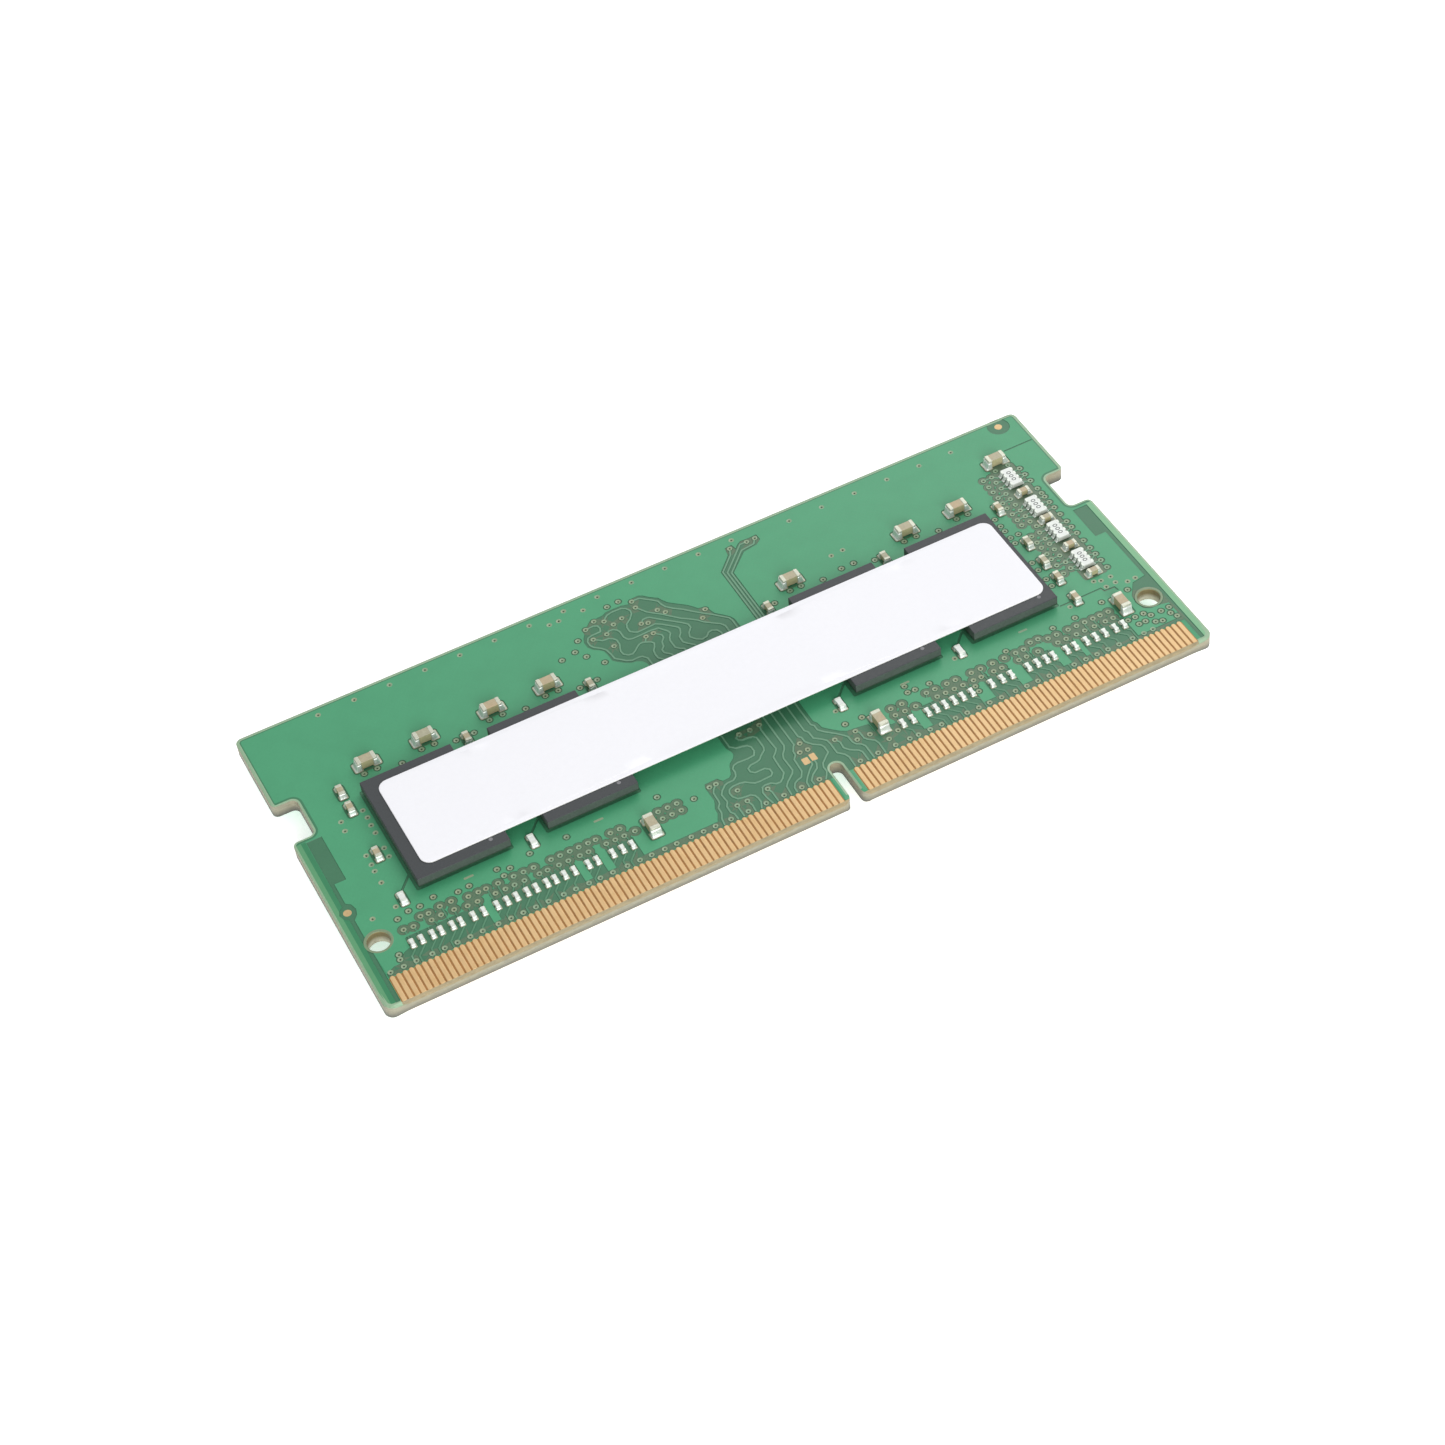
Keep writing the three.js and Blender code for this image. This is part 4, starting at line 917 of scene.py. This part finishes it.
    # short links inside the dense field at the right end
    for ay in ARRAY_Y:
        for k in (-0.75, -0.25, 0.25, 0.75):
            for col, sx in ((64.13, -1), (66.6, 1)):
                cand = [v for v in V_RIGHT if abs(v[0] - col) < 0.05]
                v = min(cand, key=lambda q: abs(q[1] - ay - k))
                if abs(v[1] - ay - k) < 0.6:
                    traces.append(([(ARRAY_X + sx * 0.55, ay + k), (ARRAY_X + sx * 0.8, ay + k), v], 0.12))
    for a, b in zip([v for v in V_RIGHT if v[0] == 63.35], [v for v in V_RIGHT if v[0] == 64.13]):
        if rng.random() < 0.45:
            traces.append(([a, b], 0.12))
    paint = []
    for _, x0, n in ROWS:
        a, b = x0 - PIN_W / 2 - 0.08, x0 + (n - 1) * PITCH + PIN_W / 2 + 0.08
        paint.append((rect(a, 0.05, b, 2.6), 11))
    paint.append((rect(62.8, 9.75, 67.25, 25.4), ((1, 6), (15, 6))))
    paint.append((rect(3.6, 2.72, 28.0, 7.4), ((2, 17),)))
    paint.append((rect(44.5, 2.72, 66.6, 7.4), ((2, 17),)))
    paint.append((rect(0.05, 0.3, 0.55, 17.6), ((0, 14),)))
    paint.append((rect(0.55, 0.3, 0.92, 17.6), ((0, 8),)))
    paint.append((rect(69.0, 0.3, 69.55, 17.6), ((0, 7),)))
    for x, y in ((10.1, 8.16), (20.7, 8.1), (46.9, 8.16), (57.4, 8.15)):
        paint.append((rect(x - 0.4, y - 0.1, x + 0.4, y + 0.1, 0.09), 3))
    paint.append((rect(36.40, 4.83, 36.94, 5.51, 0.08), 13))
    paint.append((rect(37.09, 4.89, 37.57, 5.63, 0.08), 13))
    for x, y in ((1.05, 9.72), (67.7, 29.13)):
        paint.append(([(p[0], p[1]) for p in circle(x, y, 0.32, 0, 20)], 13))
    return {"clear": clear, "lines": [], "traces": traces, "vias": vias, "paint": paint}


def back_features():
    """the face that isn't in view: same through holes, its own wiring in the same manner"""
    f = {"clear": [], "lines": [], "traces": [], "vias": [], "paint": []}
    fr = front_features()
    for x, y, r, h, anti in fr["vias"]:
        if y > 3.2 and not any(abs(x - cx) < 3.4 and abs(y - PKG_Y) < 5.2 for cx in PKG_X):
            f["vias"].append((x, y, r, h, anti))
    for x in [2.2 + 1.0 * i for i in range(65)]:
        if abs(x - KEY_X) > 1.2:
            f["vias"].append((x, 3.03, 0.225, 0.085, 0.0))
    for a, b in ((4.0, 36.8), (39.8, 66.6)):
        f["clear"].append(rect(a, 2.62, b, 5.42, 0.22))
    f["clear"].append(rect(1.4, 2.62, 4.1, 3.3, 0.1))
    f["clear"].append(rect(66.4, 2.62, 68.4, 3.3, 0.1))
    f["clear"].append(rect(28.5, 9.5, 39.5, 21.0, 0.8))
    for k in range(12):
        x = 29.1 + 0.9 * k
        o = 0.6 * math.sin(k * 1.3)
        f["traces"].append(([(x, 9.9), (x, 12.0 + o), (x + 0.35, 12.8 + o), (x + 0.35, 16.5 - o), (x, 17.3 - o), (x, 20.6)], 0.14))
    for k in range(30):
        x = 5.2 + 1.05 * k
        f["traces"].append(([(x - 0.3, 2.62), (x - 0.3, 3.3), (x, 3.7), (x, 5.2)], 0.13))
    for k in range(25):
        x = 40.8 + 1.02 * k
        f["traces"].append(([(x + 0.3, 2.62), (x + 0.3, 3.3), (x, 3.7), (x, 5.2)], 0.13))
    for x, y, al, l, w in BACK_PARTS:
        f["clear"].append(cap_clear(x, y, al, l, w, 0.36))
    for _, x0, n in ROWS:
        a, b = x0 - PIN_W / 2 - 0.08, x0 + (n - 1) * PITCH + PIN_W / 2 + 0.08
        f["paint"].append((rect(a, 0.05, b, 2.6), 11))
    f["paint"].append((rect(0.05, 0.3, 0.55, 17.6), ((0, 14),)))
    f["paint"].append((rect(69.0, 0.3, 69.55, 17.6), ((0, 7),)))
    return f


# small parts on the face that isn't in view: x, y, direction, length, width
BACK_PARTS = ([(x, 22.4, "x", 1.6, 0.8) for x in (8.0, 12.6, 18.4, 23.2, 44.6, 49.2, 55.0, 59.8)]
              + [(x, 20.6, "y", 1.0, 0.5) for x in (5.1, 15.55, 26.1, 41.7, 52.1, 62.7)]
              + [(x, 8.1, "x", 1.0, 0.5) for x in (8.6, 12.0, 19.0, 22.6, 45.2, 48.6, 55.6, 59.0)]
              + [(31.0, 24.3, "x", 1.0, 0.5), (34.0, 24.3, "x", 1.0, 0.5), (31.5, 7.2, "y", 1.0, 0.5), (35.8, 7.2, "y", 1.0, 0.5)])


def build_board():
    tp, tz, tt, tc = board_face(front_features(), 1.1)
    bp, bz, bt, bc = board_face(back_features(), 0.5)
    verts = [(x, y, z) for (x, y), z in zip(tp, tz)]
    nb = len(verts)
    verts += [(x, y, BT - z) for (x, y), z in zip(bp, bz)]
    faces = [tuple(int(i) for i in t) for t in tt]
    cls = [int(c) for c in tc]
    faces += [tuple(int(i) + nb for i in t[::-1]) for t in bt]
    cls += [int(c) for c in bc]

    def nearest(pts, p):
        d = np.abs(pts - np.array(p)).sum(1)
        i = int(d.argmin())
        if d[i] > 1e-3:
            raise ValueError("outline point lost")
        return i

    def wall(loop, mat, levels, jitter):
        n = len(loop)
        top = [nearest(tp, p) for p in loop]
        bot = [nb + nearest(bp, p) for p in loop]
        rows = [top]
        cx = [((loop[i - 1][0] - loop[(i + 1) % n][0]), (loop[i - 1][1] - loop[(i + 1) % n][1])) for i in range(n)]
        sgn = 1.0 if area(loop) > 0 else -1.0
        for lv in levels:
            b = len(verts)
            for i in range(n):
                zt, zb = verts[top[i]][2], verts[bot[i]][2]
                tx, ty = cx[i]
                l = math.hypot(tx, ty) or 1.0
                j = jitter * random.random() * sgn
                nx, ny = ty / l * j, -tx / l * j       # inwards for the outline
                verts.append((loop[i][0] + nx, loop[i][1] + ny, zt + (zb - zt) * lv))
            rows.append([b + i for i in range(n)])
        rows.append(bot)
        for a, c in zip(rows[:-1], rows[1:]):
            for i in range(n):
                j = (i + 1) % n
                faces.append((a[i], c[i], c[j], a[j]))
                cls.append(mat)
    wall(OUTLINE, 10, (0.12, 0.3, 0.5, 0.7, 0.88), 0.012)
    for hx, hy in HOLES:
        wall([(p[0], p[1]) for p in circle(hx, hy, HOLE_R, 0, HN)], 9, (0.1, 0.5, 0.9), 0.0)
    g = Geo()
    g.v = verts
    g.f = faces
    g.m = cls
    g.s = [False] * len(faces)
    return make("board_laminate", g, [MB[c] for c in CLS], ["circuit_board"])


board = build_board()


# ---------------------------------------------------------------- edge contacts
def finger(g, x, up):
    w = PIN_W / 2

    def plan(k):      # k: inset
        pts = [(x - w + k, PIN_Y0 + k), (x + w - k, PIN_Y0 + k)]
        for i in range(7):
            a = math.pi * i / 6
            pts.append((x + (w - k) * math.cos(a), PIN_Y1 - w + (w - k) * math.sin(a)))
        return pts
    z = lambda h: h if up else BT - h
    zs = [(1.15, -0.004), (1.188, 0.0), (1.1965, 0.012), (1.2, 0.035)]
    rings = []
    for h, k in zs:
        rings.append([(px, py, z(h + (0.006 if py > 2.6 else 0.0))) for px, py in plan(k)])
    g.loft(rings, 0, smooth=True, flat=())


for side, x0, n in ROWS:
    for face in ("front", "back"):
        g = Geo()
        for i in range(n):
            finger(g, x0 + i * PITCH, face == "front")
        make(f"gold_contacts_{face}_{side}", g, [M_GOLD], [f"contacts_{face}_{side}"])


# ---------------------------------------------------------------- memory packages
def package(tag, cx, cy, up):
    zb = BT if up else 0.0
    s = 1 if up else -1
    z = lambda h: zb + s * h
    w, l = PKG_W / 2, PKG_L / 2
    hs = BALL_H + SUB_T
    # moulded body with the cavity that holds the die
    g = Geo()
    dx, dy, dz = DIE[0] / 2 + 0.02, DIE[1] / 2 + 0.02, DIE[2] + 0.01
    rings = [rrect(cx, cy, dx, dy, 0.04, z(hs + dz)), rrect(cx, cy, dx, dy, 0.04, z(hs + 0.004)),
             rrect(cx, cy, w - 0.012, l - 0.012, 0.05, z(hs + 0.004)), rrect(cx, cy, w, l, 0.05, z(hs + 0.02)),
             rrect(cx, cy, w, l, 0.05, z(PKG_H - 0.045)), rrect(cx, cy, w - 0.012, l - 0.012, 0.055, z(PKG_H - 0.015)),
             rrect(cx, cy, w - 0.045, l - 0.045, 0.07, z(PKG_H))]
    # the side band takes material 1, whose colour is painted light and painted reflection of the board
    g.loft(rings, [0, 0, 0, 1, 0, 0], smooth=True, flat=(0, 1, 3))
    make(f"memory_package_body_{tag}", g, [M_MOULD, M_SAWN_SIDE_PAINTED_REFLECTION], [f"dram_mould_{tag}"])
    # pin one dot, a shallow laser-marked disc
    if up:
        g = Geo()
        px, py = cx + 2.5, cy - 4.76
        g.loft([circle(px, py, 0.16, z(PKG_H - 0.02), 20), circle(px, py, 0.16, z(PKG_H + 0.002), 20),
                circle(px, py, 0.145, z(PKG_H + 0.005), 20)], 0)
        make(f"pin_one_dot_{tag}", g, [M_MARK])
    g = Geo()
    g.loft([rrect(cx, cy, w - 0.01, l - 0.01, 0.05, z(BALL_H)), rrect(cx, cy, w, l, 0.05, z(BALL_H + 0.01)),
            rrect(cx, cy, w, l, 0.05, z(hs - 0.008)), rrect(cx, cy, w - 0.006, l - 0.006, 0.05, z(hs))], 0, flat=(1,))
    for ix in (-3.2, -2.4, -1.6, 1.6, 2.4, 3.2):
        for iy in range(13):
            bx, by = cx + ix, cy - 4.8 + 0.8 * iy
            g.loft([circle(bx, by, r, z(h), 10) for h, r in
                    ((-0.012, 0.17), (0.03, 0.205), (0.08, 0.232), (0.13, 0.238), (0.19, 0.226), (0.235, 0.20), (0.262, 0.17))], 1)
    make(f"memory_package_balls_{tag}", g, [M_SUB, M_BALL], [f"dram_substrate_{tag}"])


for i, x in enumerate(PKG_X):
    package(f"front_{i + 1}", x, PKG_Y, True)
    package(f"back_{i + 1}", x, PKG_Y, False)
for n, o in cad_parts.items():
    if n.startswith("dram_die"):
        o.data.materials.clear()
        o.data.materials.append(M_DIE)


# ---------------------------------------------------------------- label
def build_label():
    (lx0, ly0, lz0), (lx1, ly1, lz1) = node_mm("label")
    outer = rect(lx0, ly0, lx1, ly1, 0.85, 10)
    V = list(outer)
    E = [(i, (i + 1) % len(outer)) for i in range(len(outer))]
    for d in (-0.02, -0.07):
        o = offset(outer, d)
        b = len(V)
        V += o
        E += [(b + i, b + (i + 1) % len(o)) for i in range(len(o))]
    x = lx0 + 0.6
    while x < lx1 - 0.3:
        y = ly0 + 0.5
        while y < ly1 - 0.2:
            if poly_sd(np.array([(x, y)]), outer)[0] < -0.3:
                V.append((x, y))
            y += 0.82
        x += 0.6
    r = delaunay_2d_cdt([Vector(v) for v in V], E, [], 0, 1e-5, False)
    pts = np.array([(v[0], v[1]) for v in r[0]])
    tri = np.array([tuple(f) for f in r[2]])
    tri = tri[poly_sd(pts[tri].mean(1), outer) < 0]
    # paper drops a little where no package is under it
    sup = np.min([np.maximum(np.abs(pts[:, 0] - c) - PKG_W / 2, 0) for c in PKG_X], axis=0)
    gap = 18.57 / 2
    sag = 0.035 * (1 - np.exp(-(sup / 1.2) ** 2)) * np.clip(sup / 2.0, 0, 1)
    wob = 0.004 * np.sin(pts[:, 0] * 0.9) * np.sin(pts[:, 1] * 0.8 + 1.0)
    d = -poly_sd(pts, outer)
    top = lz1 - 0.006 - sag + wob - np.where(d < 0.01, 0.018, np.where(d < 0.05, 0.004, 0.0))
    bot = lz0 + 0.012 - sag
    n = len(pts)
    g = Geo()
    g.v = [(p[0], p[1], z) for p, z in zip(pts, top)] + [(p[0], p[1], z) for p, z in zip(pts, bot)]
    for t in tri:
        a, b, c = (int(k) for k in t)
        g.f.append((a, b, c)); g.m.append(0); g.s.append(True)
        g.f.append((c + n, b + n, a + n)); g.m.append(0); g.s.append(True)
    ring = [int(np.abs(pts - np.array(p)).sum(1).argmin()) for p in outer]
    for i in range(len(ring)):
        a, b = ring[i], ring[(i + 1) % len(ring)]
        g.f.append((a, a + n, b + n, b)); g.m.append(1); g.s.append(False)
    make("blank_label", g, [M_LABEL, M_LABEL_E], ["label"])


build_label()


# ---------------------------------------------------------------- small parts
class Place:
    """turns a part's own coordinates (u along, v across, h above the board) into board coordinates"""
    def __init__(self, x, y, along, up=True):
        self.x, self.y, self.al, self.up = x, y, along, up

    def __call__(self, u, v, h):
        z = BT + h if self.up else -h
        return (self.x + u, self.y + v, z) if self.al == "x" else (self.x - v, self.y + u, z)


def mapped(pl, pts):
    return [pl(*p) for p in pts]


def box_rings(u0, u1, v0, v1, h0, h1, b, r, n=2):
    cu, cv, hu, hv = (u0 + u1) / 2, (v0 + v1) / 2, (u1 - u0) / 2, (v1 - v0) / 2
    return [rrect(cu, cv, hu - b, hv - b, max(r - b, 0.01), h0, n), rrect(cu, cv, hu, hv, r, h0 + b, n),
            rrect(cu, cv, hu, hv, r, h1 - b, n), rrect(cu, cv, hu - b * 0.3, hv - b * 0.3, r, h1 - b * 0.3, n),
            rrect(cu, cv, hu - b, hv - b, max(r - b, 0.01), h1, n)]


def fillet(g, pl, u_in, u_end, sgn, half_w, hf, du, dv, mat):
    """concave solder climbing one end: u_end is the part's end face, sgn its direction"""
    rings = []
    K = 7
    for k in range(K + 1):
        t = k / K
        h = hf * (1 - t) ** 2.1
        grow = t ** 0.9
        ue = u_end + sgn * (0.012 + du * grow)
        ui = u_in - sgn * 0.04 * grow
        hv = half_w + 0.010 + dv * grow
        cu, hu = (ue + ui) / 2, abs(ue - ui) / 2
        rings.append(mapped(pl, rrect(cu, 0, hu, hv, 0.05 + 0.10 * grow * min(1, half_w * 2), 0.012 + h, 3)))
    rings.append(mapped(pl, rrect((u_end + sgn * du + u_in) / 2, 0, abs(u_end + sgn * du - u_in) / 2 - 0.0, half_w + dv, 0.14, -0.03, 3)))
    g.loft(rings, mat, smooth=True)


def two_terminal(g, x, y, along, L, W, H, e, up=True, kind="cap", fil=1.0, rise=0.75):
    """material order: 0 body, 1 body top, 2 terminal, 3 solder, 4 pad"""
    pl = Place(x, y, along, up)
    t = 0.022 if L > 1.2 else 0.015
    b = 0.035 if L > 1.2 else 0.02
    br = [mapped(pl, q) for q in box_rings(-L / 2 + 0.04, L / 2 - 0.04, -W / 2 + t, W / 2 - t, 0.03, H - t, b, 0.05)]
    g.loft(br, [0, 0, 1, 1], smooth=True, capmat=1, flat=(1,))
    for s in (-1, 1):
        u0, u1 = (L / 2 - e, L / 2) if s > 0 else (-L / 2, -L / 2 + e)
        tr = [mapped(pl, q) for q in box_rings(u0, u1, -W / 2, W / 2, 0.02, H, b * 1.3, 0.07 if L > 1.2 else 0.045)]
        g.loft(tr, 2, smooth=True)
        du = (0.26 if L > 1.2 else 0.17) * fil
        dv = (0.06 if L > 1.2 else 0.04) * fil
        fillet(g, pl, s * (L / 2 - e * 0.85), s * L / 2, s, W / 2, H * rise, du, dv, 3)
        pu0, pu1 = L / 2 - e - 0.05, L / 2 + du + 0.06
        cu = s * (pu0 + pu1) / 2
        g.loft([mapped(pl, rrect(cu, 0, (pu1 - pu0) / 2, W / 2 + dv + 0.05, 0.10, -0.03, 3)),
                mapped(pl, rrect(cu, 0, (pu1 - pu0) / 2, W / 2 + dv + 0.05, 0.10, 0.004, 3)),
                mapped(pl, rrect(cu, 0, (pu1 - pu0) / 2 - 0.02, W / 2 + dv + 0.03, 0.09, 0.014, 3))], 4, smooth=False)


CAPM = [M_CAP_SIDES_PAINTED_SHADE, M_CAP_TOP_PAINTED_LIT, M_TERM, M_SOLDER, M_PAD]
RESM = [M_RES, M_RESTOP, M_TERMR, M_SOLDER, M_PAD]


def part(name, slot, replaces, mats, *args, **kw):
    g = Geo()
    two_terminal(g, *args, **kw)
    make(name, g, mats, replaces)


for i, (x, y) in enumerate(CAPS_BACK_EDGE):
    part(f"large_capacitor_rear_{i + 1}", "capacitor", [f"capacitor_rear_{i + 1}"], CAPM, x, y, "x", 1.6, 0.8, 0.8, 0.34)
for i, (x, y) in enumerate(CAPS_LOWER):
    part(f"large_capacitor_lower_{i + 1}", "capacitor", [f"capacitor_lower_{i + 1}"], CAPM, x, y, "y", 1.6, 0.8, 0.8, 0.34)
for i, (x, y) in enumerate(CAPS_GAP):
    part(f"small_capacitor_gap_{i + 1}", "capacitor", [f"capacitor_gap_{i + 1}"], CAPM, x, y, "y", 1.0, 0.5, 0.5, 0.25)
for i, (x, y) in enumerate(CAPS_END):
    part(f"small_capacitor_end_{i + 1}", "capacitor", [f"capacitor_end_{i + 1}"], CAPM, x, y, "y", 1.0, 0.5, 0.5, 0.25)
for i, (x, y) in enumerate(RES_FRONT):
    part(f"small_resistor_{i + 1}", "resistor", [f"resistor_{i + 1}"], RESM, x, y, "y", 1.0, 0.5, 0.35, 0.24, rise=0.85)
for i, (x, y) in enumerate(CAPS_BETWEEN):
    part(f"small_capacitor_between_{i + 1}", "capacitor", [], CAPM, x, y, "x", 1.0, 0.5, 0.5, 0.25)
for i, (x, y) in enumerate(CAPS_EXTRA):
    part(f"small_capacitor_side_{i + 1}", "capacitor", [], CAPM, x, y, "y", 1.0, 0.5, 0.5, 0.25)

g = Geo()
for x in ROW_X:
    two_terminal(g, x, ROW_Y, "y", 0.62, 0.32, 0.25, 0.20, rise=0.9, fil=0.7)
make("series_resistor_row", g, RESM)

g = Geo()
for x, y, al, l, w in BACK_PARTS:
    two_terminal(g, x, y, al, l, w, 0.8 if l > 1.2 else 0.5, 0.34 if l > 1.2 else 0.25, up=False)
make("lower_face_capacitors", g, CAPM)


def array_part(i, y):
    x = ARRAY_X
    W, L, H = 1.04, 2.0, 0.45
    pl = Place(x, y, "x", True)
    g = Geo()
    # body with three half-round recesses along each long side
    def plan(k, h):
        pts = []
        hx, hy = W / 2 - 0.06 - k, L / 2 - 0.02 - k
        cuts = (-0.5, 0.0, 0.5)
        pts.append((-hx, -hy, h)); pts.append((hx, -hy, h))
        for c in cuts:
            for a in (-60, 0, 60):
                pts.append((hx - 0.05 * math.cos(math.radians(a)), c + 0.07 * math.sin(math.radians(a)), h))
        pts.append((hx, hy, h)); pts.append((-hx, hy, h))
        for c in reversed(cuts):
            for a in (60, 0, -60):
                pts.append((-hx + 0.05 * math.cos(math.radians(a)), c + 0.07 * math.sin(math.radians(a)), h))
        return pts
    g.loft([mapped(pl, plan(0.02, 0.03)), mapped(pl, plan(0.0, 0.05)), mapped(pl, plan(0.0, H - 0.03)),
            mapped(pl, plan(0.012, H - 0.008)), mapped(pl, plan(0.035, H))], [0, 0, 0, 1], smooth=False, capmat=1)
    for s in (-1, 1):
        for c in (-0.75, -0.25, 0.25, 0.75):
            cu = s * (W / 2 - 0.09)
            g.loft([mapped(pl, [(p[0] + 0, p[1] + 0, p[2]) for p in q]) for q in
                    box_rings(cu - 0.11, cu + 0.11, c - 0.15, c + 0.15, 0.015, H + 0.008, 0.03, 0.06)], 2, smooth=True)
            rings = []
            for k in range(6):
                t = k / 5
                h = 0.30 * (1 - t) ** 2
                ue = s * (W / 2 + 0.02 + 0.17 * t)
                ui = s * (W / 2 - 0.18)
                rings.append(mapped(pl, rrect((ue + ui) / 2, c, abs(ue - ui) / 2, 0.14 + 0.03 * t, 0.06, 0.01 + h, 3)))
            rings.append(mapped(pl, rrect(s * (W / 2), c, 0.18, 0.165, 0.06, -0.03, 3)))
            g.loft(rings, 3, smooth=True)
    # three generic value rings printed on the glaze
    for k, cy in enumerate((-0.42, 0.0, 0.42)):
        n = 12
        def oval(a, b, h):
            return [(a * math.cos(2 * math.pi * q / n), cy + b * math.sin(2 * math.pi * q / n), h) for q in range(n)]
        rr = [mapped(pl, oval(0.20, 0.16, H - 0.004)), mapped(pl, oval(0.20, 0.16, H + 0.003)),
              mapped(pl, oval(0.13, 0.09, H + 0.003)), mapped(pl, oval(0.13, 0.09, H - 0.004))]
        g.loft(rr + [rr[0]], 5, smooth=False, cap0=False, cap1=False)
    make(f"resistor_array_body_{i + 1}", g, RESM + [M_PRINT], [f"resistor_array_{i + 1}"], merge=True)


for i, y in enumerate(ARRAY_Y):
    array_part(i, y)


# identification chip under the label
def build_spd():
    (x0, y0, z0), (x1, y1, z1) = node_mm("spd_chip")
    g = Geo()
    pl = Place((x0 + x1) / 2, (y0 + y1) / 2, "x", True)
    w, l = (x1 - x0) / 2, (y1 - y0) / 2
    g.loft([mapped(pl, q) for q in box_rings(-w, w, -l, l, 0.03, z1 - BT, 0.04, 0.05)], 0, smooth=True, flat=(1,))
    for s in (-1, 1):
        for k in range(4):
            u = -0.75 + 0.5 * k
            g.loft([mapped(pl, q) for q in box_rings(u - 0.12, u + 0.12, s * (l - 0.2) - 0.22, s * (l - 0.2) + 0.22, 0.0, 0.10, 0.02, 0.03)], 1, smooth=True)
    make("identification_chip", g, [M_SPD, M_SOLDER], ["spd_chip"])


build_spd()

# ---------------------------------------------------------------- floor, light, camera
def build_floor():
    n = 48
    me = bpy.data.meshes.new("floor")
    bm = bmesh.new()
    bmesh.ops.create_grid(bm, x_segments=n, y_segments=n, size=1.6)
    bm.to_mesh(me)
    bm.free()
    o = bpy.data.objects.new("floor", me)
    o.location = (0, 0, cad_lo.z - 0.00002)
    bpy.context.scene.collection.objects.link(o)
    m, nt, bs = new_mat("floor_paper")
    c = ramp(nt, noise(nt, 400.0, 4, 0.6), [(0.3, (0.93, 0.93, 0.93, 1)), (0.7, (0.96, 0.96, 0.96, 1))])
    nt.links.new(c, bs.inputs["Base Color"])
    bs.inputs["Roughness"].default_value = 0.9
    bs.inputs["Specular IOR Level"].default_value = 0.1
    bs.inputs["Emission Color"].default_value = (1, 1, 1, 1)
    bs.inputs["Emission Strength"].default_value = 0.55
    me.materials.append(m)


build_floor()


def area_light(name, pos, target, size, watts, color=(1, 1, 1)):
    l = bpy.data.lights.new(name, "AREA")
    l.shape = "SQUARE"
    l.size = size
    l.energy = watts
    l.color = color
    o = bpy.data.objects.new(name, l)
    bpy.context.scene.collection.objects.link(o)
    o.location = pos
    o.rotation_euler = (Vector(target) - Vector(pos)).to_track_quat("-Z", "Y").to_euler()
    return o


area_light("key", (0.34, 0.30, 0.42), (0, 0, 0), 0.46, 1.70, (1.0, 0.99, 0.97))
area_light("front", (-0.06, -0.62, 0.27), (0, 0, 0), 0.50, 3.7, (0.99, 1.0, 1.0))
world = bpy.data.worlds.new("studio")
bpy.context.scene.world = world
world.use_nodes = True
bg = world.node_tree.nodes["Background"]
bg.inputs[0].default_value = (1.0, 1.0, 1.0, 1.0)
bg.inputs[1].default_value = 0.54

cam = bpy.data.cameras.new("camera")
co = bpy.data.objects.new("camera", cam)
bpy.context.scene.collection.objects.link(co)
X, Y, Z = Vector((0.8815, -0.4669, -0.0712)), Vector((0.3905, 0.6357, 0.6660)), Vector((-0.2656, -0.6148, 0.7426))
Z.normalize()
X = (X - X.dot(Z) * Z).normalized()
Y = Z.cross(X)
m = Matrix.Identity(4)
for r in range(3):
    m[r][0], m[r][1], m[r][2] = X[r], Y[r], Z[r]
loc = P(-25.97, -133.12, 173.63)
for r in range(3):
    m[r][3] = loc[r]
co.matrix_world = m
cam.sensor_width = 36.0
cam.lens = 36.0 * 3059.65 / 1445.0
cam.shift_x, cam.shift_y = -0.0307, 0.0038
cam.clip_start, cam.clip_end = 0.005, 10.0
bpy.context.scene.camera = co
bpy.context.scene.view_settings.view_transform = "Standard"
bpy.context.scene.view_settings.look = "None"
